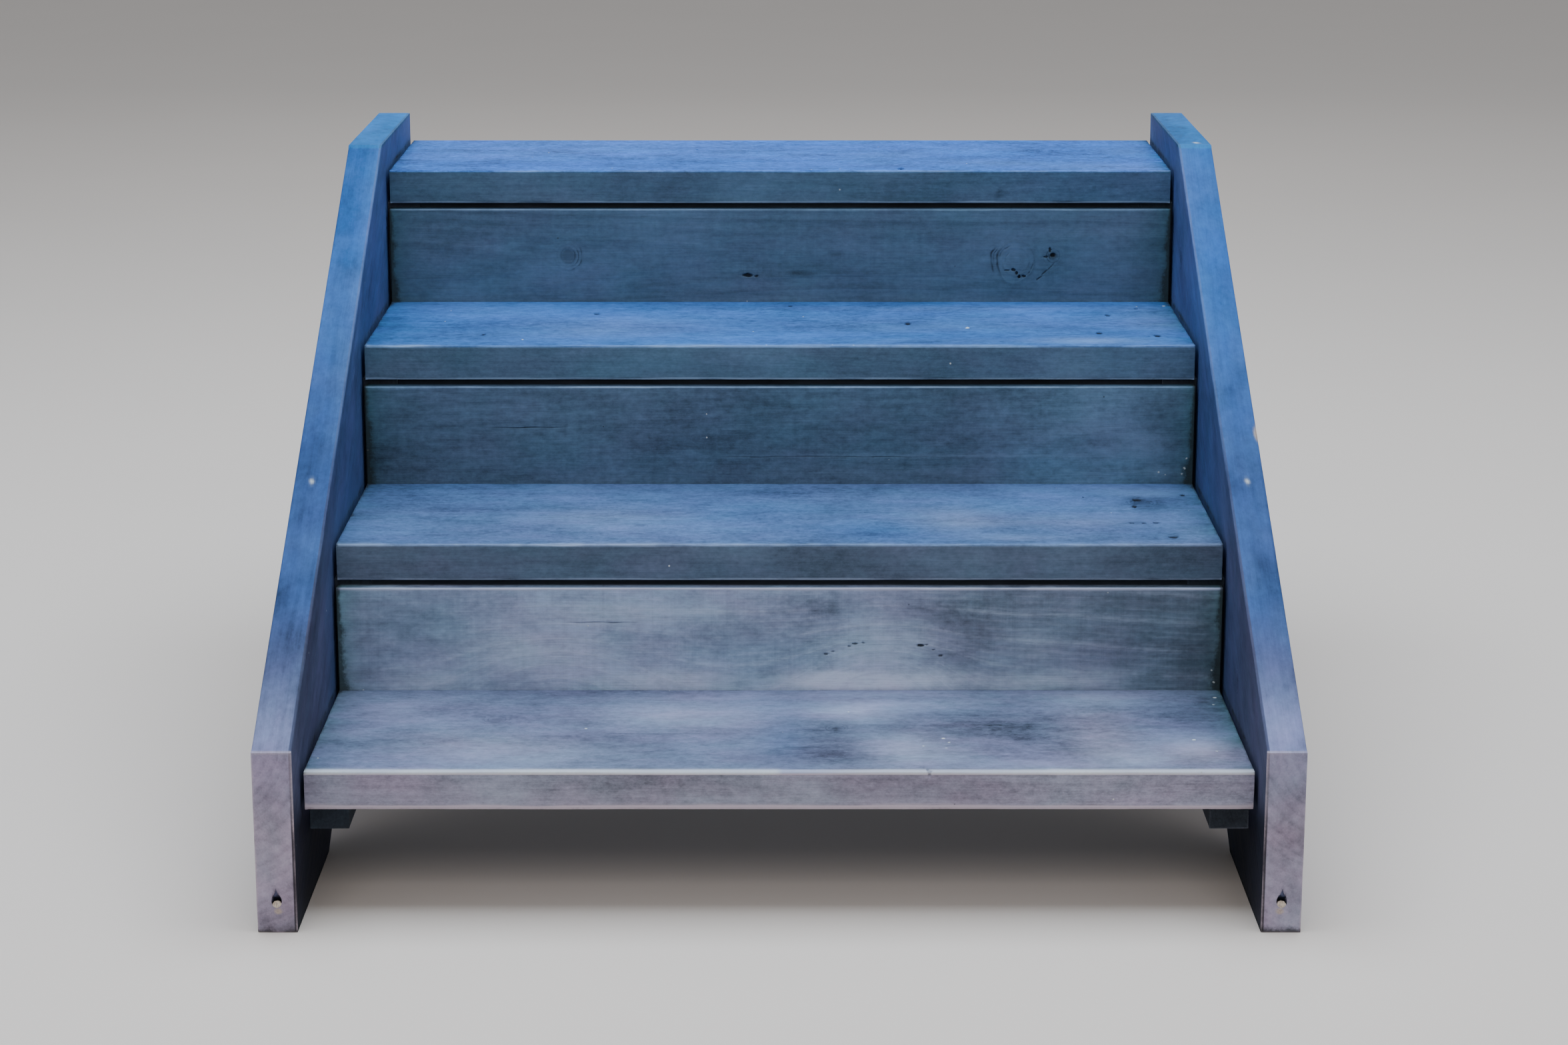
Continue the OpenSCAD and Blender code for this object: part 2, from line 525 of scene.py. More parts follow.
class Board:
    """One board with its own frame: origin, along-grain axis a0, across axis a1 and into-the-board axis a2."""

    def __init__(self, name, origin, a0, a1, a2, dims, wood, seed, r=2.8, end_ease=0.4,
                 polygon=None, features=(), cup=0.4, rough=1.0, back_ease=1.0):
        self.name, self.o = name, np.array(origin, float)
        self.a = np.array([a0, a1, a2], float)
        self.dims, self.wood, self.seed = np.array(dims, float), wood, seed
        self.r, self.end_ease, self.poly = r * MM, end_ease, polygon
        self.features, self.cup, self.rough, self.back_ease = list(features), cup, rough, back_ease
        self.flip = np.linalg.det(self.a) < 0

    # local to row frame and back
    def world(self, P):
        return self.o + P @ self.a

    def local(self, X):
        return (X - self.o) @ np.linalg.inv(self.a)

    def planes(self, P):
        """Distances inwards from each of the board's flat faces: ends or outline, then T=0 and T=t."""
        l, w, t = self.dims
        if self.poly is None:
            return np.stack([P[:, 0], l - P[:, 0], P[:, 1], w - P[:, 1], P[:, 2], t - P[:, 2]], 1)
        d = [((P[:, :2] - a) @ n) for a, b, n in self.edges()]
        return np.stack(d + [P[:, 2], t - P[:, 2]], 1)

    def edges(self):
        out = []
        for a, b in zip(self.poly, np.roll(self.poly, -1, axis=0)):
            e = (b - a) / np.linalg.norm(b - a)
            out.append((a, b, np.array([-e[1], e[0]])))
        return out

    def near_inset(self, P2, r):
        """Nearest point to each of P2 in the outline moved in by r."""
        E = self.edges()
        A = np.array([e[0] for e in E])
        Nn = np.array([e[2] for e in E])
        c = (A * Nn).sum(1) + r
        pts = []
        for i in range(len(E)):
            j = (i + 1) % len(E)
            pts.append(np.linalg.solve(np.array([Nn[i], Nn[j]]), np.array([c[i], c[j]])))
        pts = np.array(pts)  # corner between edge i and i+1
        inside = ((P2 @ Nn.T) - c >= -1e-9).all(1)
        best, bd = P2.copy(), np.full(len(P2), np.inf)
        for i in range(len(E)):
            a, b = pts[i - 1], pts[i]
            e = b - a
            t = np.clip(((P2 - a) @ e) / (e @ e), 0, 1)
            q = a + t[:, None] * e
            d = ((P2 - q) ** 2).sum(1)
            m = d < bd
            best[m], bd[m] = q[m], d[m]
        best[inside] = P2[inside]
        return best

    def ease(self, P):
        """Points moved from the sharp board to eased arrises, and the outward normals there."""
        r, (l, w, t) = self.r, self.dims
        if self.poly is None:
            q = np.clip(P, r, self.dims - r)
        else:
            q = np.empty_like(P)
            q[:, :2] = self.near_inset(P[:, :2], r)
            q[:, 2] = np.clip(P[:, 2], r, t - r)
        v = P - q
        n = v / np.maximum(np.linalg.norm(v, axis=1), 1e-12)[:, None]
        eased = q + r * n
        s = 0.85 + 0.32 * fbm(P[:, 0] * 11, P[:, 1] * 11 + 3, P[:, 2] * 11, 3, self.seed + 8)
        # bruises: short stretches where an arris has worn or crushed deeper
        b = ss(0.42, 0.75, noise(P[:, 0] * 24, P[:, 1] * 24, P[:, 2] * 24 + 9, self.seed + 9))
        s = s + 0.55 * b
        if self.poly is None:
            e = np.minimum(P[:, 0], l - P[:, 0])
            s = s * (self.end_ease + (1 - self.end_ease) * ss(0, 6 * MM, e))
            s = s * (self.back_ease + (1 - self.back_ease) * ss(0, 9 * MM, w - P[:, 1]))
        else:
            s = s * self.cut_ease(P)
        return P + s[:, None] * (eased - P), n

    def cut_ease(self, P):
        """How far arrises along sawn cuts are eased, against planed ones."""
        d = self.planes(P)
        sawn = np.minimum.reduce([d[:, m] for m in self.sawn])
        return self.end_ease + (1 - self.end_ease) * ss(0.5 * MM, 6 * MM, sawn)

    def relief(self, P):
        """Inward depth at each surface point, in metres, before features."""
        L, W, T = P.T
        s = self.seed
        broad = 0.5 + 0.5 * fbm(L * 1.6, W * 13, T * 13, 2, s + 20)
        fine = 0.5 + 0.5 * fbm(L * 5, W * 120, T * 120, 2, s + 21)
        ph = self.wood.rings(L, W, T)
        g = np.abs(self.wood.rings(L, W + 1 * MM, T) - ph)
        fr = ph - np.floor(ph)
        late = ss(0.45, 0.86, fr) * (1 - ss(0.9, 1.0, fr))
        keep = 1 - ss(0.08, 0.2, g)
        out = 0.16 * broad + 0.09 * fine + 0.14 * (1 - late) * keep
        w = self.dims[1]
        if self.cup:
            wide = ss(0, 20 * MM, np.minimum(W, w - W))
            out = out + self.cup * (1 - (2 * W / w - 1) ** 2) * wide
        km = self.wood.knot_mask(L, W, T)
        out = out + 0.35 * km * (0.6 + 0.4 * fbm(L * 160, W * 160, T * 160, 2, s + 22))
        return out * MM * self.rough

    def build(self, Ls, Ws, Ts, P=None, faces=None, back=None):
        if P is None:
            ijk, faces = lattice(len(Ls), len(Ws), len(Ts), back and (thinned(Ls, back[0]), thinned(Ws, back[1])))
            P = np.stack([Ls[ijk[:, 0]], Ws[ijk[:, 1]], Ts[ijk[:, 2]]], 1)
        E, n = self.ease(P)
        dep = self.relief(P)
        d = np.sort(self.planes(P), axis=1)
        off = ss(0, 4 * MM, d[:, 1])
        fd, _, _ = cut_depth(self.features, P[:, 0], P[:, 1], P[:, 2], self.dims[2], self.seed)
        E = E - n * (dep * (0.25 + 0.75 * off) + fd)[:, None]
        if self.flip:
            faces = [q[::-1] for q in faces]
        self.ob = new_object(self.name, new_mesh(self.name, self.world(E), faces))
        return self.ob

    def add_screws(self, spots, out, sink=0.7, r=4.0):
        """Joins screw heads to the mesh as shells of their own, in material slot 1."""
        if not spots:
            return
        me = self.ob.data
        V = coords(me)
        F = [list(p.vertices) for p in me.polygons]
        M = [0] * len(F)
        rng = np.random.RandomState(self.seed)
        for at in spots:
            v, f = screw_parts(np.array(at, float), out, sink + 0.25 * rng.rand(), r, turn=rng.rand() * 1.5)
            n = len(V)
            V = np.concatenate([V, v])
            F += [[i + n for i in q] for q in f]
            M += [1] * len(f)
        self.screw_from = len(coords(me))
        new = new_mesh(self.name, V, F, M)
        self.ob.data = new
        bpy.data.meshes.remove(me)

    def paint(self, fn, material, nodes, screw=None):
        """Writes the wood's coordinates and masks to the mesh, then finishes the piece."""
        me = self.ob.data
        X = coords(me)
        P = self.local(X)
        L, W, T = P.T
        ring = self.wood.rings(L, W, T)
        D = self.planes(P)
        order = np.sort(D, axis=1)
        face = np.argmin(D, axis=1)
        edge = np.clip(order[:, 1] - order[:, 0] * 0.5, 0, None)
        _, groove, spot = cut_depth(self.features, L, W, T, self.dims[2], self.seed)
        km = self.wood.knot_mask(L, W, T)
        n = len(X)
        m = dict(wear=np.zeros(n), dirt=np.zeros(n), fade=np.zeros(n), grey=np.zeros(n),
                 raw=np.zeros(n), knot=km, groove=groove, shade=np.zeros(n), deep=np.zeros(n),
                 gain=np.ones(n), grain=np.full(n, 0.5), tex=np.ones(n), vivid=np.zeros(n), spot=spot, green=np.zeros(n))
        fn(self, m, X, P, D, face, edge)
        m["grain"] = m["grain"] + self.wood.near_knot(L, W)
        k = 3.7 * (self.seed % 97)
        set_vector(me, "wood", L + k, W + 0.7 * k, T + 0.3 * k)
        set_vector(me, "m1", ring, m["wear"], m["dirt"])
        set_vector(me, "m2", m["fade"], m["knot"], m["grey"])
        set_vector(me, "m3", m["raw"], m["groove"], m["shade"])
        set_vector(me, "m4", m["deep"], m["gain"], m["grain"])
        set_vector(me, "m5", m["tex"], m["vivid"], m["spot"])
        set_vector(me, "m6", np.clip(m["green"], 0, 1), 0 * L, 0 * L)
        me.materials.clear()
        me.materials.append(material)
        if screw is not None:
            me.materials.append(screw)
        me.shade_smooth()
        me.set_sharp_from_angle(angle=math.radians(42))
        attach(self.ob, "root")
        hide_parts(*nodes)
        return self.ob


# ---------------------------------------------------------------------------
# Node materials
# ---------------------------------------------------------------------------


class Tree:
    def __init__(self, name):
        self.mat = bpy.data.materials.new(name)
        self.mat.use_nodes = True
        self.nt = self.mat.node_tree
        self.nt.nodes.clear()
        self.out = self.nt.nodes.new("ShaderNodeOutputMaterial")
        self.bsdf = self.nt.nodes.new("ShaderNodeBsdfPrincipled")
        self.nt.links.new(self.bsdf.outputs[0], self.out.inputs[0])

    def put(self, socket, value):
        if isinstance(value, bpy.types.NodeSocket):
            self.nt.links.new(value, socket)
        elif isinstance(value, (tuple, list)) and len(value) == 3 and socket.type == "RGBA":
            socket.default_value = (*value, 1.0)
        else:
            socket.default_value = value

    def attr(self, name):
        n = self.nt.nodes.new("ShaderNodeAttribute")
        n.attribute_type, n.attribute_name = "GEOMETRY", name
        return n.outputs["Vector"]

    def split(self, v):
        n = self.nt.nodes.new("ShaderNodeSeparateXYZ")
        self.put(n.inputs[0], v)
        return n.outputs

    def join(self, x, y, z):
        n = self.nt.nodes.new("ShaderNodeCombineXYZ")
        for s, v in zip(n.inputs, (x, y, z)):
            self.put(s, v)
        return n.outputs[0]

    def math(self, op, a, b=0.0, c=None, clamp=False):
        n = self.nt.nodes.new("ShaderNodeMath")
        n.operation, n.use_clamp = op, clamp
        self.put(n.inputs[0], a)
        self.put(n.inputs[1], b)
        if c is not None:
            self.put(n.inputs[2], c)
        return n.outputs[0]

    def mul(self, a, b, clamp=False):
        return self.math("MULTIPLY", a, b, clamp=clamp)

    def add(self, a, b, clamp=False):
        return self.math("ADD", a, b, clamp=clamp)

    def scale(self, v, s):
        n = self.nt.nodes.new("ShaderNodeVectorMath")
        n.operation = "MULTIPLY"
        self.put(n.inputs[0], v)
        n.inputs[1].default_value = s
        return n.outputs[0]

    def vadd(self, v, w):
        n = self.nt.nodes.new("ShaderNodeVectorMath")
        n.operation = "ADD"
        self.put(n.inputs[0], v)
        self.put(n.inputs[1], w)
        return n.outputs[0]

    def noise(self, v, scale=1.0, detail=2.0, rough=0.5, distort=0.0):
        n = self.nt.nodes.new("ShaderNodeTexNoise")
        n.noise_dimensions = "3D"
        self.put(n.inputs["Vector"], v)
        n.inputs["Scale"].default_value = scale
        n.inputs["Detail"].default_value = detail
        n.inputs["Roughness"].default_value = rough
        n.inputs["Distortion"].default_value = distort
        return n.outputs[0]

    def voronoi(self, v, scale, output="Distance", feature="F1"):
        n = self.nt.nodes.new("ShaderNodeTexVoronoi")
        n.feature = feature
        self.put(n.inputs["Vector"], v)
        n.inputs["Scale"].default_value = scale
        return n.outputs[output]

    def step(self, x, a, b, smooth=True):
        n = self.nt.nodes.new("ShaderNodeMapRange")
        n.interpolation_type = "SMOOTHSTEP" if smooth else "LINEAR"
        n.clamp = True
        self.put(n.inputs["Value"], x)
        n.inputs["From Min"].default_value = a
        n.inputs["From Max"].default_value = b
        n.inputs["To Min"].default_value = 0.0
        n.inputs["To Max"].default_value = 1.0
        return n.outputs[0]

    def fall(self, x, a, b):
        """1 up to a, 0 from b."""
        n = self.nt.nodes.new("ShaderNodeMapRange")
        n.interpolation_type = "SMOOTHSTEP"
        n.clamp = True
        self.put(n.inputs["Value"], x)
        n.inputs["From Min"].default_value = a
        n.inputs["From Max"].default_value = b
        n.inputs["To Min"].default_value = 1.0
        n.inputs["To Max"].default_value = 0.0
        return n.outputs[0]

    def mix(self, f, a, b, blend="MIX"):
        n = self.nt.nodes.new("ShaderNodeMix")
        n.data_type, n.blend_type, n.clamp_factor = "RGBA", blend, True
        self.put(n.inputs["Factor"], f)
        self.put(n.inputs[6], a)
        self.put(n.inputs[7], b)
        return n.outputs[2]

    def bump(self, h, distance, strength=1.0, normal=None):
        n = self.nt.nodes.new("ShaderNodeBump")
        n.inputs["Strength"].default_value = strength
        n.inputs["Distance"].default_value = distance
        self.put(n.inputs["Height"], h)
        if normal is not None:
            self.put(n.inputs["Normal"], normal)
        return n.outputs[0]


def stain(name, blue, grey, deep=(0.012, 0.040, 0.125), ring=0.35, fibre=0.3, streak=0.2, mottle=0.3,
          cloud=0.35, fine=0.8, drip=0.0, rough=0.56, pale=(0.37, 0.385, 0.47), pale_rings=0.0, spec=0.22, paler=0.45):
    """Weathered exterior stain over flat-sawn softwood; the masks also carry painted light and shade."""
    t = Tree(name)
    wood = t.attr("wood")
    m1, m2, m3, m4, m5, m6 = (t.split(t.attr(n)) for n in ("m1", "m2", "m3", "m4", "m5", "m6"))
    ph, wear, dirt = m1[0], m1[1], m1[2]
    fade, knot, greyness = m2[0], m2[1], m2[2]
    raw, groove, shade = m3[0], m3[1], m3[2]
    deepness, gain, grain_k, tex, vivid, spot = m4[0], m4[1], m4[2], m5[0], m5[1], m5[2]

    # growth rings
    wob = t.noise(t.scale(wood, (14, 90, 90)), 1.0, 2)
    fr = t.math("FRACT", t.add(ph, t.mul(wob, 0.30)))
    late = t.mul(t.step(fr, 0.30, 0.80), t.fall(fr, 0.86, 0.98))
    width = t.noise(t.join(t.mul(ph, 0.9), 0.0, 0.0), 1.0, 1)
    late = t.mul(late, t.math("MAXIMUM", t.step(width, 0.25, 0.65), t.step(grain_k, 0.6, 0.95)))
    late = t.mul(late, grain_k)
    # fibres, from broad to hair-fine
    fib1 = t.noise(t.scale(wood, (6, 120, 120)), 1.0, 3, 0.6)
    fib2 = t.noise(t.scale(wood, (22, 560, 560)), 1.0, 3, 0.65)
    fib3 = t.noise(t.scale(wood, (60, 1900, 1900)), 1.0, 2, 0.6)
    big = t.noise(t.scale(wood, (4.5, 9, 9)), 1.0, 4, 0.55, 0.4)
    mid = t.noise(t.scale(wood, (16, 30, 30)), 1.0, 4, 0.6, 0.3)
    mott = t.noise(t.scale(wood, (85, 130, 130)), 1.0, 4, 0.70)
    peck = t.noise(t.scale(wood, (210, 420, 420)), 1.0, 3, 0.7)
    # short pores, seen as dark dashes
    pore = t.fall(t.voronoi(t.scale(wood, (70, 900, 900)), 1.0), 0.05, 0.22)
    pore = t.mul(pore, t.step(fib1, 0.48, 0.66))

    # deep mixes in a darker tone, painted shade on faces turned from the sky; vivid makes tops bluer, a painted sky
    # sheen
    base = t.mix(deepness, blue, deep)
    base = t.mix(greyness, base, grey)
    base = t.mix(vivid, base, t.mix(1.0, base, (0.72, 0.88, 1.15), "MULTIPLY"))

    def swing(n, k):
        return t.mul(t.math("SUBTRACT", n, 0.5), 2.0 * k)

    # breaks soft patches up along the grain
    torn = t.add(t.add(t.mul(fib2, 0.35), t.mul(mott, 0.35)), t.mul(mid, 0.30))
    torn = t.step(torn, 0.38, 0.62, smooth=False)
    v = t.add(swing(fib1, streak), swing(fib2, fibre))
    v = t.add(v, swing(mott, mottle))
    v = t.add(v, swing(peck, mottle * fine))
    v = t.add(v, swing(mid, cloud * 0.8))
    v = t.add(1.0, t.mul(v, tex))
    v = t.add(v, swing(big, cloud))
    if not pale_rings:
        v = t.math("SUBTRACT", v, t.mul(late, ring))
    v = t.math("SUBTRACT", v, t.mul(pore, 0.18))
    v = t.math("SUBTRACT", v, t.mul(t.mul(shade, 0.62), t.math("SUBTRACT", 1.15, t.mul(t.step(mid, 0.32, 0.68, smooth=False), 0.3))))
    if drip:
        d = t.noise(t.scale(wood, (210, 5, 5)), 1.0, 3, 0.7)
        v = t.add(v, t.mul(swing(d, drip), t.step(mid, 0.25, 0.6)))
    # gain lightens or darkens whole faces; much of it is painted light and shade
    v = t.mul(t.math("MAXIMUM", v, 0.12), gain)
    n = t.nt.nodes.new("ShaderNodeVectorMath")
    n.operation = "SCALE"
    t.put(n.inputs[0], base)
    t.put(n.inputs["Scale"], v)
    c = n.outputs[0]
    # faded patches and painted glints of sunlight keep the grain
    fd = t.mul(fade, t.add(0.68, t.mul(torn, 0.64)), clamp=True)
    pale_here = t.mix(greyness, (0.24, 0.35, 0.52), pale)
    faded = t.mix(paler, t.mix(1.0, base, (1.8, 1.75, 1.7), "MULTIPLY"), pale_here)
    c = t.mix(fd, c, faded)
    if pale_rings:
        thin = t.mul(t.step(fr, 0.72, 0.85), t.fall(fr, 0.86, 0.96))
        fr4 = t.math("FRACT", t.add(t.mul(ph, 4.0), t.mul(wob, 1.2)))
        thin = t.math("MAXIMUM", thin, t.mul(t.mul(t.step(fr4, 0.3, 0.8), t.fall(fr4, 0.84, 1.0)), 0.45))
        pr = t.mul(t.mul(thin, pale_rings), t.mul(t.add(0.45, torn), t.step(t.add(mid, t.mul(fade, 0.3)), 0.36, 0.60)))
        c = t.mix(pr, c, faded)
    # the stain's hue wanders a little, greener to redder
    hue = t.step(t.noise(t.scale(wood, (9, 17, 17)), 1.0, 3, 0.6), 0.34, 0.66, smooth=False)
    c = t.mix(1.0, c, t.mix(hue, (0.93, 1.02, 1.0), (1.07, 0.98, 1.01)), "MULTIPLY")
    # a thin green bloom in damp corners, and a painted reflection of grass on the stringers' flat tops
    bloom = t.mul(m6[0], t.add(0.6, t.mul(mott, 0.8)), clamp=True)
    c = t.mix(bloom, c, t.mix(1.0, c, (0.62, 1.0, 0.80), "MULTIPLY"))
    # knots: darker, reddish under the stain
    kn = t.mul(knot, t.add(0.55, t.mul(mott, 0.7)), clamp=True)
    c = t.mix(t.mul(kn, 0.72), c, t.mix(1.0, base, (0.40, 0.37, 0.36), "MULTIPLY"))
    # worn arrises, and painted highlights where arrises catch the light
    wr = t.mul(wear, t.add(0.25, t.mul(t.add(fib2, mid), 0.85)))
    wr = t.step(wr, 0.14, 0.78)
    c = t.mix(t.mul(wr, 0.86), c, t.mix(greyness, (0.24, 0.35, 0.52), (0.48, 0.385, 0.43)))
    # dirt and painted shade, then dust
    sp = t.noise(t.scale(wood, (260, 260, 260)), 1.0, 3, 0.7)
    dr = t.step(t.mul(dirt, t.add(0.35, sp)), 0.22, 0.75)
    c = t.mix(t.mul(dr, 0.80), c, (0.020, 0.022, 0.020))
    dust = t.mul(t.step(sp, 0.66, 0.80), t.add(0.015, t.mul(dirt, 0.45)), clamp=True)
    c = t.mix(dust, c, (0.36, 0.33, 0.28))
    # sparse pale specks and a few dark ones
    vd = t.voronoi(wood, 55.0, "Distance")
    vc = t.split(t.voronoi(wood, 55.0, "Color"))
    speck = t.mul(t.fall(vd, 0.035, 0.075), t.step(vc[0], 0.95, 0.955))
    c = t.mix(t.mul(speck, 0.8), c, (0.62, 0.63, 0.62))
    dot = t.mul(t.fall(vd, 0.03, 0.08), t.fall(vc[1], 0.045, 0.05))
    c = t.mix(t.mul(dot, 0.7), c, (0.02, 0.02, 0.022))
    c = t.mix(t.mul(spot, t.add(0.6, sp), clamp=True), c, (0.66, 0.69, 0.66))
    # painted shade in grooves, pits and checks, then torn wood
    c = t.mix(t.mul(groove, 0.93), c, (0.008, 0.009, 0.012))
    rw = t.mix(t.step(fib2, 0.35, 0.7), (0.50, 0.40, 0.29), (0.30, 0.22, 0.15))
    c = t.mix(raw, c, rw)
    t.put(t.bsdf.inputs["Base Color"], c)

    rg = t.add(rough, t.mul(t.step(fib2, 0.4, 0.75), 0.10))
    rg = t.add(rg, t.mul(t.math("SUBTRACT", mid, 0.5), 0.25))
    rg = t.add(rg, t.mul(wr, 0.14))
    rg = t.add(rg, t.mul(fd, 0.10))
    rg = t.add(rg, t.mul(dr, 0.2))
    rg = t.add(rg, t.mul(groove, 0.3), clamp=True)
    t.put(t.bsdf.inputs["Roughness"], rg)
    h = t.add(t.mul(fib2, 0.55), t.mul(fib1, 0.35))
    h = t.add(h, t.mul(late, 0.35))
    h = t.add(h, t.mul(mott, 0.5))
    h = t.add(h, t.mul(fib3, 0.3))
    h = t.math("SUBTRACT", h, t.mul(pore, 0.35))
    h = t.add(h, t.mul(speck, 0.4))
    t.put(t.bsdf.inputs["Normal"], t.bump(h, 0.00042, 0.75))
    t.bsdf.inputs["Specular IOR Level"].default_value = spec
    return t.mat


def screw_metal(name):
    """A dull plated screw head, mostly painted over."""
    t = Tree(name)
    co = t.nt.nodes.new("ShaderNodeTexCoord").outputs["Object"]
    n = t.noise(co, 420.0, 4, 0.65)
    m = t.noise(co, 1500.0, 3, 0.6)
    c = t.mix(t.step(n, 0.44, 0.6), (0.11, 0.15, 0.22), (0.05, 0.09, 0.18))
    c = t.mix(t.mul(t.step(m, 0.58, 0.72), 0.5), c, (0.16, 0.11, 0.07))
    t.put(t.bsdf.inputs["Base Color"], c)
    t.bsdf.inputs["Metallic"].default_value = 0.25
    t.put(t.bsdf.inputs["Roughness"], t.add(0.42, t.mul(m, 0.3)))
    t.put(t.bsdf.inputs["Normal"], t.bump(m, 0.0001, 0.5))
    return t.mat


def torn_wood(name):
    """Bare softwood where a sliver has torn out."""
    t = Tree(name)
    co = t.nt.nodes.new("ShaderNodeTexCoord").outputs["Object"]
    n = t.noise(t.scale(co, (900, 900, 220)), 1.0, 3, 0.6)
    m = t.noise(co, 380.0, 3, 0.6)
    c = t.mix(t.step(n, 0.35, 0.65), (0.62, 0.53, 0.44), (0.40, 0.31, 0.24))
    c = t.mix(t.mul(t.step(m, 0.48, 0.66), 0.55), c, (0.26, 0.23, 0.26))
    t.put(t.bsdf.inputs["Base Color"], c)
    t.bsdf.inputs["Roughness"].default_value = 0.8
    t.bsdf.inputs["Specular IOR Level"].default_value = 0.2
    t.put(t.bsdf.inputs["Normal"], t.bump(n, 0.0004, 0.8))
    return t.mat


# BLUE is the stain on tops as the sky lights them; SLATE, on fronts and risers, is the same stain in painted shade
BLUE = (0.034, 0.108, 0.305)
SLATE = (0.064, 0.111, 0.174)
LILAC = (0.225, 0.205, 0.265)
TREAD = stain("tread stain", BLUE, LILAC, deep=SLATE, ring=0.16, fibre=0.44, streak=0.16, mottle=0.80, cloud=0.62, spec=0.06)
RISER = stain("riser stain", SLATE, LILAC, ring=0.50, fibre=0.22, streak=0.24, mottle=0.58, cloud=0.48, fine=0.3, drip=0.12,
              rough=0.62, spec=0.15)
# riser 1: faded stain with pale rings; its pale colour also paints the glint of sunlight along its foot
RISER_FADED_SUNLIT = stain("riser stain, faded and sunlit", SLATE, (0.282, 0.318, 0.432), ring=0.10, fibre=0.20, streak=0.14, mottle=0.46,
                    cloud=0.52, fine=0.25, drip=0.21, rough=0.62, pale=(0.88, 0.87, 0.96), pale_rings=0.19, spec=0.15, paler=0.85)
# the rake takes the blue; the deep tone, matched on the inner faces in shade, is painted shade
STRINGER = stain("stringer stain", (0.017, 0.088, 0.280), (0.245, 0.212, 0.270), deep=(0.050, 0.058, 0.118), ring=0.14, fibre=0.20,
                 streak=0.20, mottle=0.36, cloud=0.72, fine=0.4, rough=0.60, spec=0.06)
# near black: painted shade of the parts hidden under the stair
BATTEN_IN_SHADE = stain("batten stain in painted shade", (0.014, 0.022, 0.036), (0.040, 0.042, 0.046), deep=(0.006, 0.008, 0.012), ring=0.3, cloud=0.6,
               mottle=0.5, rough=0.7)
SCREW = screw_metal("screw head")
TORN = torn_wood("torn wood")

# ---------------------------------------------------------------------------
# Treads
# ---------------------------------------------------------------------------
SCREW_LINES = [0.0, 1.5, 3.0, 4.2, 4.9, 5.7, 7.5]
KNOT_LINES = [0, 2, 4, 6, 8, 10.5, 13.5, 17, 21]


def rise_off(x, w):
    return np.exp(-np.clip(x, 0, None) / w)


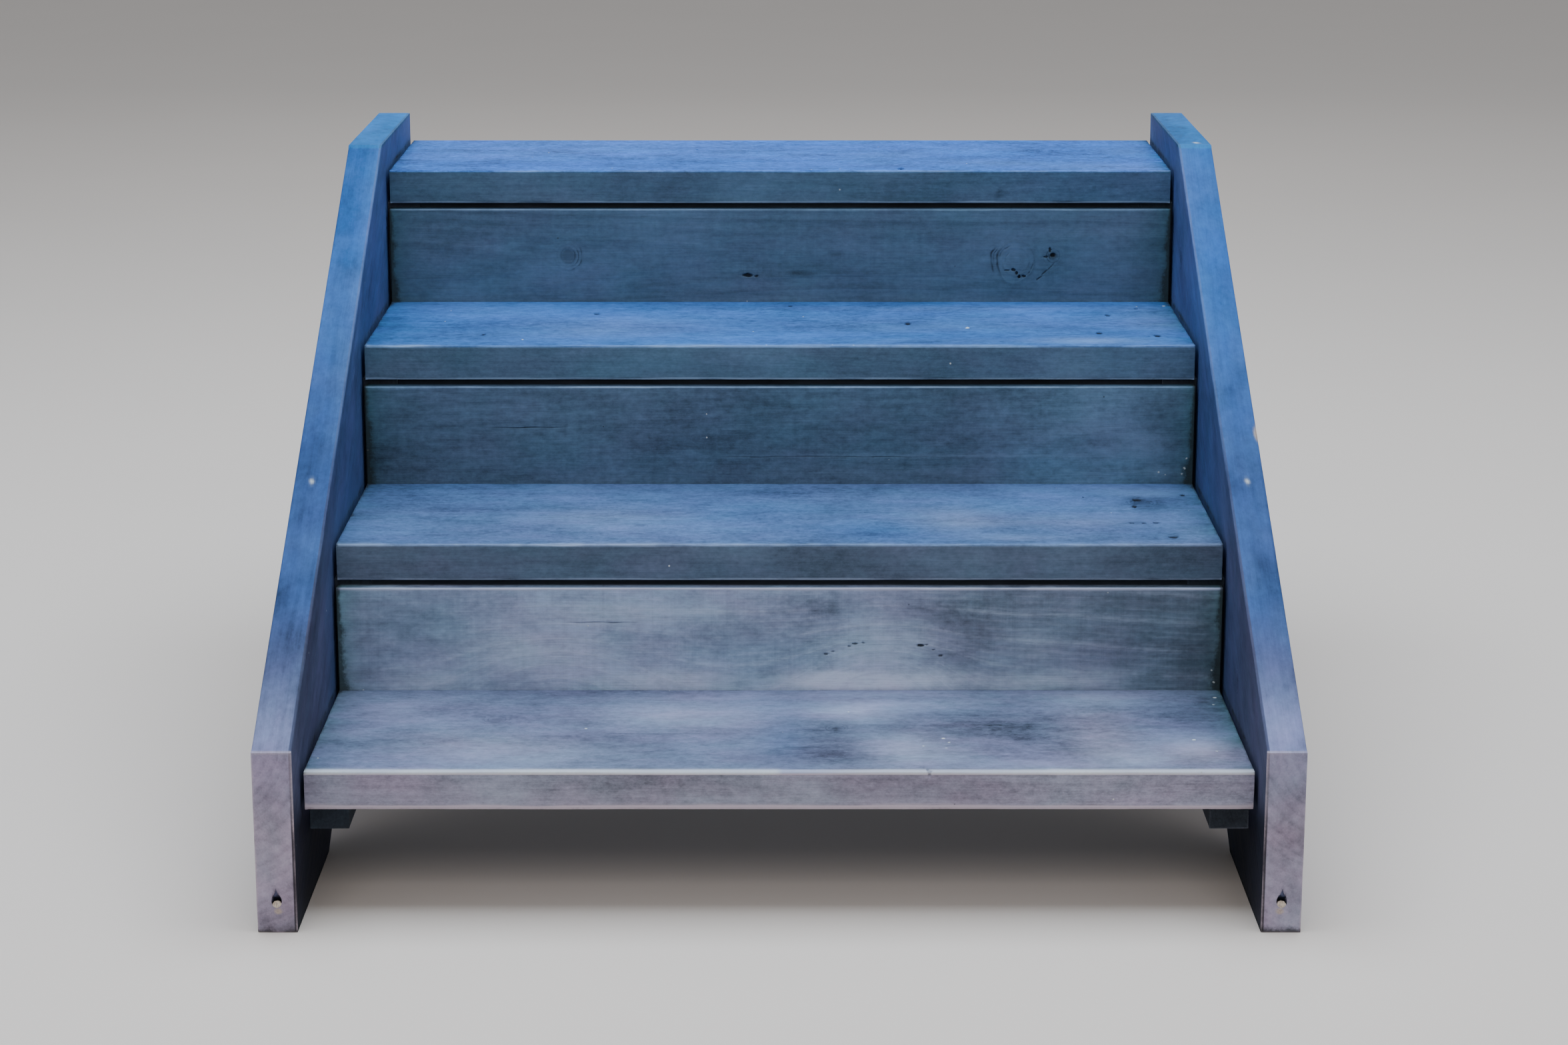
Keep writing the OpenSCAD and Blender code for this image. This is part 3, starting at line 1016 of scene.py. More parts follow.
def tread_masks(n, spec):
    def fn(b, m, X, P, D, face, edge):
        L, W, T = P.T
        l, w, t = b.dims
        top, bottom = T < 3.2 * MM, T > t - 3.2 * MM
        front = ss(3.2 * MM, 1.5 * MM, W) * ss(1.0 * MM, 3.0 * MM, T)
        n1 = 0.5 + 0.5 * fbm(L * 16, W * 30, T * 30, 3, b.seed + 30)
        n2 = 0.5 + 0.5 * fbm(L * 60, W * 60, T * 60, 3, b.seed + 31)
        n3 = 0.5 + 0.5 * fbm(L * 7, 0, 0, 3, b.seed + 32)
        a = np.exp(-((edge / (2.6 * MM)) ** 2))
        nose = np.exp(-((W / (2.6 * MM)) ** 2)) * np.exp(-((T / (2.6 * MM)) ** 2))
        low = np.exp(-((W / (2.6 * MM)) ** 2)) * np.exp(-(((t - T) / (spec.get("low_w", 2.6) * MM)) ** 2))
        # worn nosing and lower arris, with a painted highlight on the nosing and painted reflected light on the lower
        # arris
        m["wear"] = 0.22 * a * n1 + spec["nose"] * nose * (0.25 + 0.9 * n1 + 0.35 * n3) + spec["low"] * low * (0.3 + n1)
        band = np.exp(-((W / (24 * MM)) ** 2)) * top
        m["wear"] = m["wear"] + spec["band"] * band * ss(0.42, 0.8, n2) * n1
        # a lip rubbed nearly bare along the front of the tread
        lip = spec.get("lip", 0.0) * top * np.exp(-((np.clip(W - 2 * MM, 0, None) / (spec.get("lip_w", 7) * MM)) ** 2)) * (0.45 + 0.9 * n3)
        m["wear"] = np.clip(m["wear"] + lip, 0, 1)
        m["spot"] = np.maximum(m["spot"], 0.36 * lip * (spec.get("lip", 0.0) > 0.5) * ss(0.02, 0.13, X[:, 0] + 0.6 * (X[:, 0] < 0)) * (0.5 + n1))
        both = np.where(T < t - 5 * MM, 1.0, 0.3) * (1 - front)
        m["fade"] = np.clip(0.05 * top * n1 + blobs(spec["fade"], X[:, 0], W, n1) * both
                            + front * blobs(spec["nose_fade"], X[:, 0], T, n1), 0, 1)
        # the underside darker: painted shade
        m["shade"] = np.clip(blobs(spec["shade"], X[:, 0], W, n1) * both
                             + front * blobs(spec["nose_shade"], X[:, 0], T, n1) + 0.5 * bottom, 0, 1)
        # dirt and painted shade along the ends against the stringers, in the crease under the riser above, on the
        # underside and on the back face
        end = np.minimum(L, l - L)
        dirt = 0.8 * rise_off(end, 4 * MM) + 0.45 * rise_off(end, 20 * MM) * rise_off(w - W, 35 * MM)
        if n < 4:
            dirt = dirt + (0.30 * rise_off(w - 2 * MM - W, 3.0 * MM) + 0.08 * rise_off(w - W, 16 * MM)) * ss(0.2, 0.8, n2)
        dirt = dirt * top + 0.4 * bottom + 0.12 * (W > w - 3 * MM)
        m["dirt"] = np.clip(dirt * (0.4 + 0.9 * n2), 0, 1)
        g = spec["grey"] + 0.10 * fbm(L * 3, W * 6, T * 6, 2, b.seed + 33)
        g = g + blobs(spec["lilac"], X[:, 0], W, n1) * top
        g = g * (1 - front) + front * (spec["nose_grey"] + 0.07 * fbm(L * 5, W * 6, T * 30, 2, b.seed + 34))
        m["grey"] = np.clip(g, 0, 1)
        # the nose front takes the slate deep tone against the bluer top: painted shade of a face turned from the sky
        m["deep"] = front + (1 - front) * spec.get("top_deep", 0.0)
        # per-face brightness: nose_more is painted sunlight on the right of a nose, top_gain on tread 4 a painted sky
        # sheen
        more = spec.get("nose_more", 0.0) * ss(0.18, 0.34, X[:, 0])
        m["gain"] = 1 + front * (spec.get("nose_gain", 1.0) + more - 1) + top * (1 - front) * (spec.get("top_gain", 1.0) - 1)
        m["tex"] = spec["tex"][0] * (1 - front) + spec["tex"][1] * front
        # a green bloom near the ends, with painted shade along them
        damp_and_shade = rise_off(end, 15 * MM) * np.where(X[:, 0] > 0, 1.0, 0.6) * ss(0.25, 0.7, n1 + 0.3 * ss(0.1, 0.28, W))
        m["green"] = (spec.get("green", 0.5) * damp_and_shade + spec.get("green_all", 0.0)) * top
        m["shade"] = np.clip(m["shade"] + 0.45 * spec.get("green", 0.5) * damp_and_shade * top, 0, 1)
        # vivid: tops bluer as a painted sky sheen; noses bluer towards the right
        m["vivid"] = spec.get("vivid", 0.0) * top * (1 - front) + spec.get("nose_vivid", 0.0) * front * ss(0.1, 0.4, X[:, 0])

    return fn


def P_check(x, w, length, wide=0.8, deep=1.6, slant=0.0, **k):
    return dict(kind="check", x=x, W=w * MM, len=length, wide=wide, deep=deep, slant=slant, **k)


def P_pit(x, w, r=1.8, deep=1.6, dark=1.0, **k):
    return dict(kind="pit", x=x, W=w * MM, r=r, deep=deep, dark=dark, **k)


def P_spot(x, w, r=1.6, amount=1.0, **k):
    return dict(kind="spot", x=x, W=w * MM, r=r, dark=amount, deep=0, **k)


def P_arc(x, w, r, mid, half, wide=1.0, deep=0.35, dark=0.6, **k):
    return dict(kind="arc", x=x, W=w * MM, r=r, mid=mid, half=half, wide=wide, deep=deep, dark=dark, **k)


def P_dent(x, w, r=6, deep=0.8, dark=0.2, **k):
    return dict(kind="dent", x=x, W=w * MM, r=r, deep=deep, dark=dark, **k)


# Where the marks lie is given as x on the stair and millimetres behind the nosing
TREAD_SPEC = [
    dict(seed=11, pith=(0.12, 0.115), spacing=0.0058, taper=0.020,
         knots=[(-0.31, 178, 9, 0.7), (0.062, 150, 7, 0.35)],
         features=[P_check(-0.12, 132, 150), P_check(0.09, 214, 90, 0.6, 1.0), P_dent(0.30, 120, 7, 0.7),
                   P_check(0.37, 250, 70, 0.7, 1.2), P_dent(-0.05, 60, 5, 0.6), P_pit(-0.38, 96, 1.6),
                   P_dent(0.157, 3.0, 4.8, 3.0, 0.6, long=0.7), P_dent(0.155, 8, 4, 1.3, 0.35, long=0.5), P_dent(0.151, 16, 5, 0.7, 0.3, long=0.35),
                   P_spot(0.4455, 110, 2.2), P_spot(0.465, 71, 1.7, 0.6), P_spot(0.1765, 115, 2.0, 0.75), P_spot(0.182, 101, 1.7, 0.6),
                   P_spot(0.154, 89, 1.4, 0.6), P_spot(0.178, 82, 1.4, 0.5), P_spot(0.487, 262, 2.2, 0.8), P_spot(0.482, 236, 1.6, 0.7),
                   P_spot(-0.21, 150, 1.8, 0.8)],
         # nose_more lightens the right of the nose: painted sunlight
         grey=0.45, nose_grey=0.88, top_deep=0.6, top_gain=0.97, nose_gain=1.05, nose_more=0.36, tex=(0.62, 0.60), nose=1.5, low=2.4, low_w=4.2, band=0.30,
         lip=0.95, green=1.0,
         lilac=[(0.345, 130, 0.045, 120, 0.30), (0.45, 60, 0.05, 45, 0.32), (0.14, 85, 0.05, 60, 0.18), (0.08, 213, 0.05, 40, 0.10),
                (0.005, 110, 0.03, 90, -0.16), (0.242, 142, 0.07, 55, 0.08), (-0.12, 200, 0.10, 60, 0.14), (-0.33, 90, 0.10, 70, 0.18)],
         # pale patches; those 220 mm and more behind the nosing form a painted glint of sunlight across the back
         fade=[(0.082, 220, 0.046, 28, 0.62), (0.150, 236, 0.060, 20, 0.44), (0.140, 276, 0.12, 16, 0.42), (0.345, 262, 0.06, 26, 0.34), (0.110, 186, 0.035, 18, 0.22), (0.128, 80, 0.034, 44, 0.36),
               (0.105, 242, 0.028, 13, 0.16), (0.27, 244, 0.10, 12, 0.07), (0.185, 56, 0.036, 26, 0.20), (0.260, 26, 0.12, 16, 0.24), (0.345, 60, 0.038, 60, 0.12), (0.380, 48, 0.036, 32, 0.36), (0.445, 84, 0.040, 36, 0.44), (0.21, 250, 0.05, 16, 0.16),
               (-0.10, 190, 0.09, 40, 0.36),
               (-0.30, 70, 0.10, 50, 0.32), (-0.42, 200, 0.05, 50, 0.2)],
         shade=[(0.242, 158, 0.105, 82, 0.80), (0.250, 178, 0.060, 44, 0.26), (0.280, 118, 0.045, 40, 0.28), (0.250, 78, 0.060, 18, 0.20), (0.300, 108, 0.045, 30, 0.24), (0.058, 80, 0.042, 50, 0.66),
                (0.040, 126, 0.034, 32, 0.32), (0.075, 28, 0.055, 34, 0.34), (0.478, 246, 0.040, 38, 0.46), (0.105, 140, 0.05, 36, 0.16),
                (0.10, 160, 0.05, 22, 0.22), (0.062, 145, 0.0035, 8, 0.7), (0.43, 150, 0.05, 34, 0.22), (0.445, 236, 0.06, 42, 0.38),
                (0.00, 100, 0.02, 80, 0.20), (-0.20, 120, 0.08, 55, 0.50), (-0.44, 110, 0.05, 60, 0.32)],
         nose_fade=[(0.38, 10, 0.12, 12, 0.20), (0.20, 34, 0.25, 8, 0.22), (-0.25, 30, 0.2, 10, 0.25)],
         nose_shade=[(0.12, 12, 0.06, 12, 0.25), (0.47, 20, 0.02, 20, 0.15), (-0.1, 12, 0.09, 12, 0.2)]),
    dict(seed=23, pith=(0.19, 0.100), spacing=0.0054, taper=-0.016,
         knots=[(0.425, 196, 9, 0.75), (-0.16, 90, 7, 0.6)],
         features=[P_pit(0.445, 35, 5.7, 1.6, long=1.2), P_pit(0.421, 212, 4.8, 1.4, deepw=1.9), P_pit(0.415, 179, 4.1, 1.2, deepw=1.6),
                   P_pit(0.478, 234, 3.5, 1.2, deepw=1.6), P_pit(0.404, 100, 3.2, 1.0), P_pit(0.418, 99, 2.8, 0.9), P_pit(0.432, 102, 4.4, 1.2),
                   P_pit(0.359, 224, 1.5, 0.9, deepw=1.8), P_check(0.10, 150, 120), P_check(-0.27, 236, 80, 0.6, 1.0),
                   P_dent(-0.02, 30, 6, 0.7), P_dent(0.21, 110, 8, 0.6)],
         grey=0.15, nose_grey=0.20, top_deep=0.4, top_gain=0.98, nose_gain=1.0, tex=(0.80, 0.42), nose=0.05, low=1.1, band=0.16, green=0.8,
         lip=0.25, lip_w=12,
         lilac=[(0.20, 118, 0.06, 55, 0.13), (0.33, 104, 0.08, 36, 0.06), (0.11, 60, 0.06, 50, -0.10), (0.04, 130, 0.03, 22, 0.02), (0.27, 28, 0.06, 22, 0.03), (0.42, 50, 0.04, 40, -0.06), (-0.2, 120, 0.1, 60, 0.12)],
         fade=[(0.215, 112, 0.052, 48, 0.29), (0.32, 104, 0.06, 32, 0.20), (0.265, 28, 0.065, 22, 0.22), (0.47, 48, 0.03, 40, 0.08), (0.44, 246, 0.055, 24, 0.26), (-0.22, 130, 0.10, 50, 0.16)],
         shade=[(0.434, 198, 0.030, 36, 0.85), (0.421, 208, 0.010, 22, 0.70), (0.416, 178, 0.006, 12, 0.4), (0.418, 99.5, 0.02, 6, 0.4), (0.445, 36, 0.012, 18, 0.35), (0.478, 236, 0.006, 16, 0.4), (0.10, 262, 0.2, 14, 0.12), (0.13, 48, 0.065, 40, 0.24), (0.085, 182, 0.045, 26, 0.27), (0.045, 80, 0.03, 26, 0.14), (0.20, 246, 0.24, 22, 0.10), (0.26, 235, 0.06, 22, 0.14), (-0.40, 150, 0.08, 60, 0.2)],
         nose_fade=[(0.215, 18, 0.035, 20, 0.16)],
         nose_shade=[(0.36, 22, 0.06, 14, 0.16), (0.47, 20, 0.03, 22, 0.25), (0.05, 20, 0.05, 15, 0.1)]),
    dict(seed=37, pith=(0.10, 0.125), spacing=0.0060, taper=0.014,
         knots=[(-0.30, 140, 8, 0.6)],
         features=[P_pit(0.158, 146, 4.4, 1.8, deepw=2.2), P_pit(0.410, 201, 3.2, 1.2, 0.8, deepw=2.6), P_pit(0.389, 82, 4.8, 1.8, deepw=1.8),
                   P_pit(0.458, 66, 4.8, 1.8, deepw=1.8), P_pit(0.447, 60, 2.8, 1.2, 0.8), P_pit(0.450, 244, 2.8, 1.2, 0.8, deepw=1.8),
                   P_pit(0.013, 262, 3.8, 1.4, 1.0, deepw=1.6), P_check(-0.14, 88, 110), P_check(0.28, 252, 100, 0.6, 1.0),
                   P_spot(0.230, 115, 2.4, deepw=1.8), P_spot(-0.016, 4, 1.5, 0.8), P_spot(0.063, 5, 1.2, 0.7), P_spot(0.088, 4, 1.4, 0.8),
                   P_spot(0.487, 262, 2.4, 0.8), P_spot(0.452, 258, 1.6, 0.6), P_spot(0.029, 190, 1.3, 0.6), P_spot(-0.31, 40, 1.6, 0.8),
                   P_pit(-0.23, 210, 4.1, 1.6, deepw=1.8), P_pit(-0.36, 72, 3.5, 1.4, deepw=1.8), P_dent(0.05, 120, 8, 0.6)],
         grey=0.0, nose_grey=0.0, top_gain=1.05, nose_gain=1.13, nose_vivid=0.2, nose_more=0.08, tex=(0.80, 0.42), nose=0.05, low=1.2, band=0.14, green=0.8, green_all=0.06,
         lip=0.27, lip_w=16,
         lilac=[(0.23, 250, 0.28, 24, 0.10), (0.46, 190, 0.08, 75, 0.13), (0.36, 36, 0.09, 30, 0.10), (0.20, 30, 0.06, 20, 0.06), (-0.2, 120, 0.1, 60, 0.08)],
         fade=[(0.13, 32, 0.05, 18, 0.10), (0.43, 30, 0.05, 22, 0.14), (0.15, 125, 0.12, 30, 0.10), (0.33, 100, 0.12, 40, 0.08), (0.475, 140, 0.04, 80, 0.18), (0.37, 30, 0.060, 22, 0.36), (0.23, 30, 0.07, 16, 0.10), (-0.25, 70, 0.15, 50, 0.10)],
         shade=[(0.20, 240, 0.20, 22, 0.12), (-0.1, 150, 0.1, 50, 0.12)],
         nose_fade=[(0.355, 20, 0.035, 30, 0.20)],
         nose_shade=[(0.10, 22, 0.10, 20, 0.12), (0.26, 20, 0.04, 25, 0.08), (0.47, 20, 0.03, 22, 0.2)]),
    dict(seed=53, pith=(0.16, 0.110), spacing=0.0052, taper=-0.02,
         knots=[(0.335, 190, 8, 0.35), (-0.22, 60, 6, 0.5)],
         features=[P_pit(0.154, 20, 5.6, 2.2, long=0.9, deepw=1.8), P_pit(-0.11, 200, 1.8, 1.2), P_check(0.02, 245, 130), P_check(-0.33, 120, 90, 0.7, 1.2),
                   P_dent(0.25, 60, 7, 0.6), P_pit(0.05, 105, 1.5, 1.0, 0.8)],
         # tread 4's top brighter and bluer (top_gain, vivid): painted sky sheen
         grey=0.0, nose_grey=0.0, nose_gain=0.98, top_gain=1.19, vivid=0.9, nose_vivid=0.4, nose_more=0.14, tex=(1.25, 0.42), nose=0.25, low=1.0, band=0.05, green=0.9, green_all=0.20,
         lilac=[(0.14, 150, 0.06, 40, 0.07)],
         fade=[(0.10, 50, 0.2, 45, 0.07), (0.27, 78, 0.07, 34, 0.14), (0.39, 38, 0.08, 34, 0.20), (0.46, 24, 0.03, 22, 0.08), (0.46, 190, 0.04, 60, 0.14), (-0.3, 180, 0.15, 60, 0.06)],
         shade=[(0.34, 190, 0.03, 32, 0.30), (0.21, 205, 0.12, 60, 0.16), (0.12, 150, 0.05, 40, 0.12), (-0.2, 100, 0.08, 40, 0.15)],
         nose_fade=[],
         nose_shade=[(0.28, 29, 0.005, 5, 0.9), (0.45, 22, 0.05, 20, 0.18)]),
]

for n, (spec, (lo, hi)) in enumerate(zip(TREAD_SPEC, TREADS), start=1):
    x0, x1 = lo[0], hi[0]
    length, width, thick = hi - lo
    knots = [dict(L=x - x0, W=w * MM, r=r * MM, dark=dark) for x, w, r, dark in spec["knots"]]
    feats = []
    for f in spec["features"]:
        f = dict(f)
        f["L"] = f.pop("x") - x0
        feats.append(f)
    wood = Wood(spec["seed"], spec["pith"], spec["spacing"], spec["taper"], knots)
    b = Board("vis_tread_%d" % n, (x0, lo[1], hi[2]), (1, 0, 0), (0, 1, 0), (0, 0, -1),
              (length, width, thick), wood, spec["seed"], r=2.9, features=feats, cup=0.55, back_ease=0.3 if n < 4 else 1.0)
    ex_l, ex_w = [], []
    for f in feats:
        cl, cw = f["L"] / MM, f["W"] / MM
        if f["kind"] == "check":
            ex_w += around(cw, [0, 0.6, 1.2, 2.0])
        elif f["kind"] == "pit":
            k = f["r"]
            kl, kw = k * f.get("long", 1), k * f.get("deepw", 1)
            ex_l += around(cl, [0, 0.45 * kl, 0.9 * kl, 1.3 * kl])
            ex_w += around(cw, [0, 0.45 * kw, 0.9 * kw, 1.3 * kw])
        elif f["kind"] == "spot":
            ex_l += around(cl, [0, 0.5 * f["r"], 0.9 * f["r"], 1.3 * f["r"]])
            ex_w += around(cw, [0, 0.5 * f["r"], 0.9 * f["r"], 1.3 * f["r"]])
        elif f["deep"] > 1:
            ex_l += around(cl, [0, 1.2, 2.4, 3.6, 5])
            ex_w += around(cw, [0, 1.2, 2.4, 3.6])
    for k in knots:
        ex_l += around(k["L"] / MM, KNOT_LINES[::2])
        ex_w += around(k["W"] / MM, KNOT_LINES[::2])
    b.build(lines(length, 7.6, ex_l), lines(width, 5.2, ex_w), lines(thick, 4.6), back=(13, 9))
    b.paint(tread_masks(n, spec), TREAD, ["tread_%d" % n])

# ---------------------------------------------------------------------------
# Risers
# ---------------------------------------------------------------------------


def riser_masks(n, spec):
    def fn(b, m, X, P, D, face, edge):
        L, W, T = P.T
        l, w, t = b.dims
        seen = T < t - 3 * MM
        n1 = 0.5 + 0.5 * fbm(L * 16, W * 30, T * 30, 3, b.seed + 30)
        n2 = 0.5 + 0.5 * fbm(L * 60, W * 60, T * 60, 3, b.seed + 31)
        a = np.exp(-((edge / (2.2 * MM)) ** 2))
        # the top arris lighter: wear, with a painted highlight where it catches the light
        topline = np.exp(-((W / (spec.get("edge_w", 2.2) * MM)) ** 2)) * np.exp(-((T / (3 * MM)) ** 2))
        m["wear"] = np.clip(0.15 * a * n1 + spec["edge"] * topline * (0.35 + 0.8 * n1), 0, 1)
        m["fade"] = np.clip((0.04 * n1 + blobs(spec["fade"], X[:, 0], W, n1)) * seen, 0, 1)
        # the back face darker: painted shade
        m["shade"] = np.clip(blobs(spec["shade"], X[:, 0], W, n1) * seen + 0.4 * (~seen), 0, 1)
        low = w - 21 * MM
        end = np.minimum(L, l - L)
        # darker along the crease at the tread below, behind it and on the back face: dirt and painted shade
        dirt = spec.get("foot_dirt_and_shade", 0.16) * np.exp(-np.abs(W - low) / (3.5 * MM)) + 0.25 * (W > low + 2 * MM)
        # dirt and painted shade in the corner against the stringer, wider towards the bottom
        wide = (6 + 9 * np.clip(W / low, 0, 1)) * MM * (0.35 + 0.7 * n1 + 0.7 * n2)
        dirt = dirt + 1.35 * rise_off(end, 0.62 * wide) + 0.25 * rise_off(end, 16 * MM) * ss(low - 60 * MM, low, W)
        dirt = dirt * seen + 0.4 * (~seen)
        m["dirt"] = np.clip(dirt * (0.6 + 0.6 * n2), 0, 1)
        g = spec["grey"](X[:, 0]) + 0.08 * fbm(L * 4, W * 9, T * 6, 2, b.seed + 33)
        m["grey"] = np.clip(g, 0, 1)
        # the top edge face, in the gap under the tread above, darker: painted shade
        m["gain"] = spec["gain"](X[:, 0]) * np.where((W < 1.2 * MM) & (T > 2.5 * MM), 0.35, 1.0)
        m["grain"] = spec["grain"] + 0 * L
        m["tex"] = spec["tex"] + 0 * L
        m["green"] = 0.9 * rise_off(end, 16 * MM) * seen

    return fn


RISER_SPEC = [
    dict(seed=71, pith=(-0.315, 0.0), spacing=0.032, taper=0.0, bow=0.002, vary=0.0, foot_dirt_and_shade=0.04, mat=RISER_FADED_SUNLIT, edge=1.05, edge_w=3.0, grain=0.9, tex=0.85,
         # gain: the left of riser 1 lighter, a painted patch of sunlight
         gain=lambda x: 1.50 - 0.47 * ss(0.06, 0.24, x) - 0.12 * ss(0.24, 0.45, x),
         swells=[(0.115, 130, 0.075, 63.5, 3.6), (-0.25, 128, 0.10, 66, 3.0), (0.50, 60, 0.17, 200, -0.46), (-0.50, 60, 0.17, 200, -0.3)],
         knots=[], features=[P_pit(0.158, 67, 1.8, 1.2, long=2.8), P_pit(0.085, 65, 1.5, 1.0, 0.8, long=2.4), P_pit(0.181, 79, 1.6, 1.0, 0.8, long=2.0),
                             P_pit(0.052, 77, 1.3, 0.9, 0.7, long=2.4), P_pit(0.060, 74, 1.0, 0.8, 0.6, long=2.4), P_pit(0.078, 68, 1.1, 0.8, 0.6, long=2.0), P_pit(0.094, 64, 1.0, 0.8, 0.6, long=2.0),
                             P_pit(0.165, 66, 1.1, 0.8, 0.6, long=2.2), P_pit(0.173, 72, 1.0, 0.8, 0.6, long=2.0), P_spot(0.489, 110, 1.6, 0.7), P_spot(0.486, 96, 1.2, 0.6), P_check(-0.2, 40, 80, 0.6, 1.0)],
         grey=lambda x: 0.52 - 0.12 * ss(0.15, 0.45, np.abs(x - 0.02)),
         # the pale strip along the bottom is a painted glint of sunlight, running on across the back of tread 1
         fade=[(0.055, 109, 0.050, 11, 1.00), (0.120, 110, 0.045, 10, 0.90), (0.180, 106, 0.040, 12, 0.56), (0.112, 78, 0.055, 30, 0.36), (0.110, 48, 0.025, 20, 0.14), (0.290, 70, 0.030, 18, 0.14), (0.155, 55, 0.02, 16, 0.10),
               (0.30, 109, 0.075, 10, 0.56), (0.36, 100, 0.05, 10, 0.14), (-0.12, 108, 0.08, 12, 0.5),
               (-0.28, 75, 0.09, 26, 0.4), (-0.40, 108, 0.05, 14, 0.4), (-0.18, 30, 0.1, 12, 0.25)],
         shade=[(0.215, 55, 0.040, 42, 0.40), (0.450, 70, 0.055, 60, 0.50), (0.03, 36, 0.045, 32, 0.44), (0.06, 18, 0.07, 20, 0.34), (0.19, 20, 0.06, 20, 0.34),
                (0.165, 42, 0.026, 24, 0.26), (0.27, 22, 0.04, 18, 0.18), (0.475, 50, 0.03, 60, 0.28), (0.345, 70, 0.03, 14, 0.24),
                (0.42, 10, 0.07, 16, 0.25), (-0.06, 50, 0.05, 35, 0.22), (-0.46, 60, 0.04, 60, 0.30)]),
    dict(seed=83, pith=(0.085, 0.120), spacing=0.0050, taper=-0.018, mat=RISER, edge=0.50, grain=0.20, tex=1.0,
         gain=lambda x: 1.0 + 0.36 * ss(0.22, 0.34, x) * (1 - 0.5 * ss(0.41, 0.46, x)),
         swells=[], knots=[], features=[P_spot(0.486, 100, 1.6, 0.7), P_spot(0.483, 107, 1.2, 0.6), P_spot(0.488, 88, 1.3, 0.6), P_spot(0.455, 105, 1.3, 0.5), P_spot(0.463, 108, 1.0, 0.5),
                   P_check(0.06, 86, 260, 0.5, 0.7), P_check(-0.3, 50, 90, 0.6, 1.0)],
         grey=lambda x: 0.0 * x,
         fade=[(0.37, 32, 0.055, 40, 0.20), (0.33, 64, 0.07, 30, 0.08), (0.454, 106, 0.014, 7, 0.3), (0.42, 72, 0.045, 20, 0.24), (0.25, 106, 0.3, 9, 0.14), (0.41, 107, 0.07, 9, 0.14), (0.345, 94, 0.028, 9, 0.10), (0.075, 98, 0.05, 14, 0.10), (-0.32, 60, 0.12, 40, 0.14), (0.20, 85, 0.2, 1.8, 0.30)],
         shade=[(0.20, 75, 0.14, 30, 0.12), (0.47, 60, 0.03, 60, 0.2), (-0.1, 60, 0.1, 40, 0.14)]),
    dict(seed=97, pith=(0.060, 0.095), spacing=0.0056, taper=0.016, mat=RISER, edge=0.36, grain=0.30, tex=0.66,
         gain=lambda x: 1.02 + 0.06 * ss(0.3, 0.4, x),
         swells=[(0.30, 70, 0.09, 45, 1.2)],
         knots=[(0.300, 66, 27, 0.0, 2.6, 0.30, 1.22, 0.2, 0.25, 186), (0.348, 60, 4.2, 1.0, 2.2, 0.8, 3.0, 1.0, 0.5, 160), (-0.27, 60, 9, 0.7, 3.0, 0.6, 2.6, 1.0, 0.7, 20)],
         features=[P_arc(0.300, 66, 31.5, 183, 38, 1.9, dark=1.0), P_arc(0.300, 66, 28.0, 196, 30, 1.2, dark=0.62),
                   P_arc(0.300, 66, 24.0, 178, 50, 1.7, dark=0.85), P_arc(0.300, 66, 20.5, 222, 36, 1.2, dark=0.55),
                   P_arc(0.300, 66, 23.0, 24, 32, 1.4, dark=0.60), P_arc(0.300, 66, 17.5, 30, 28, 1.1, dark=0.45),
                   P_arc(0.300, 66, 13.0, 196, 44, 1.2, dark=0.32), P_arc(0.300, 66, 30.5, 262, 22, 1.2, dark=0.35),
                   P_pit(0.2975, 78, 2.2, 1.3, 0.9, long=1.3), P_pit(0.3015, 82, 2.1, 1.3, 0.9, long=0.8, deepw=1.4), P_pit(0.3050, 87, 2.7, 1.6, long=1.0),
                   P_pit(0.311, 86, 2.0, 1.2, 0.9, long=1.5), P_pit(0.289, 78.5, 1.5, 0.8, 0.7, long=2.6),
                   P_pit(0.3475, 59, 3.6, 1.8, long=1.1), P_pit(0.3435, 52, 2.0, 1.2, 0.9, long=0.9, deepw=2.0), P_pit(0.339, 61, 1.8, 1.0, 0.7, long=1.8),
                   P_pit(-0.041, 85, 3.2, 1.6, 1.0, long=1.9, deepw=0.9), P_pit(-0.030, 86, 1.6, 1.0, 0.8, long=2.0),
                   P_check(0.3455, 73, 9, 1.5, 0.8, -1.1), P_check(0.337, 80.5, 8, 1.3, 0.7, -0.9), P_check(0.331, 88, 9, 1.5, 0.8, -0.7)],
         grey=lambda x: 0.0 * x,
         fade=[(0.294, 62, 0.018, 16, 0.10), (0.40, 30, 0.08, 14, 0.10), (-0.30, 90, 0.15, 40, 0.08)],
         shade=[(0.348, 60, 0.010, 8, 0.45), (0.305, 84, 0.010, 5, 0.35), (0.340, 80, 0.010, 10, 0.22), (0.273, 66, 0.006, 18, 0.22), (0.031, 83, 0.012, 4.5, 0.62), (0.018, 82, 0.008, 3, 0.35), (0.072, 57, 0.010, 4, 0.5), (0.11, 62, 0.05, 5, 0.14), (0.29, 108, 0.05, 7, 0.2), (-0.041, 84, 0.03, 8, 0.25), (0.10, 22, 0.12, 8, 0.14), (0.37, 88, 0.05, 10, 0.16), (0.47, 60, 0.03, 60, 0.15)]),
]

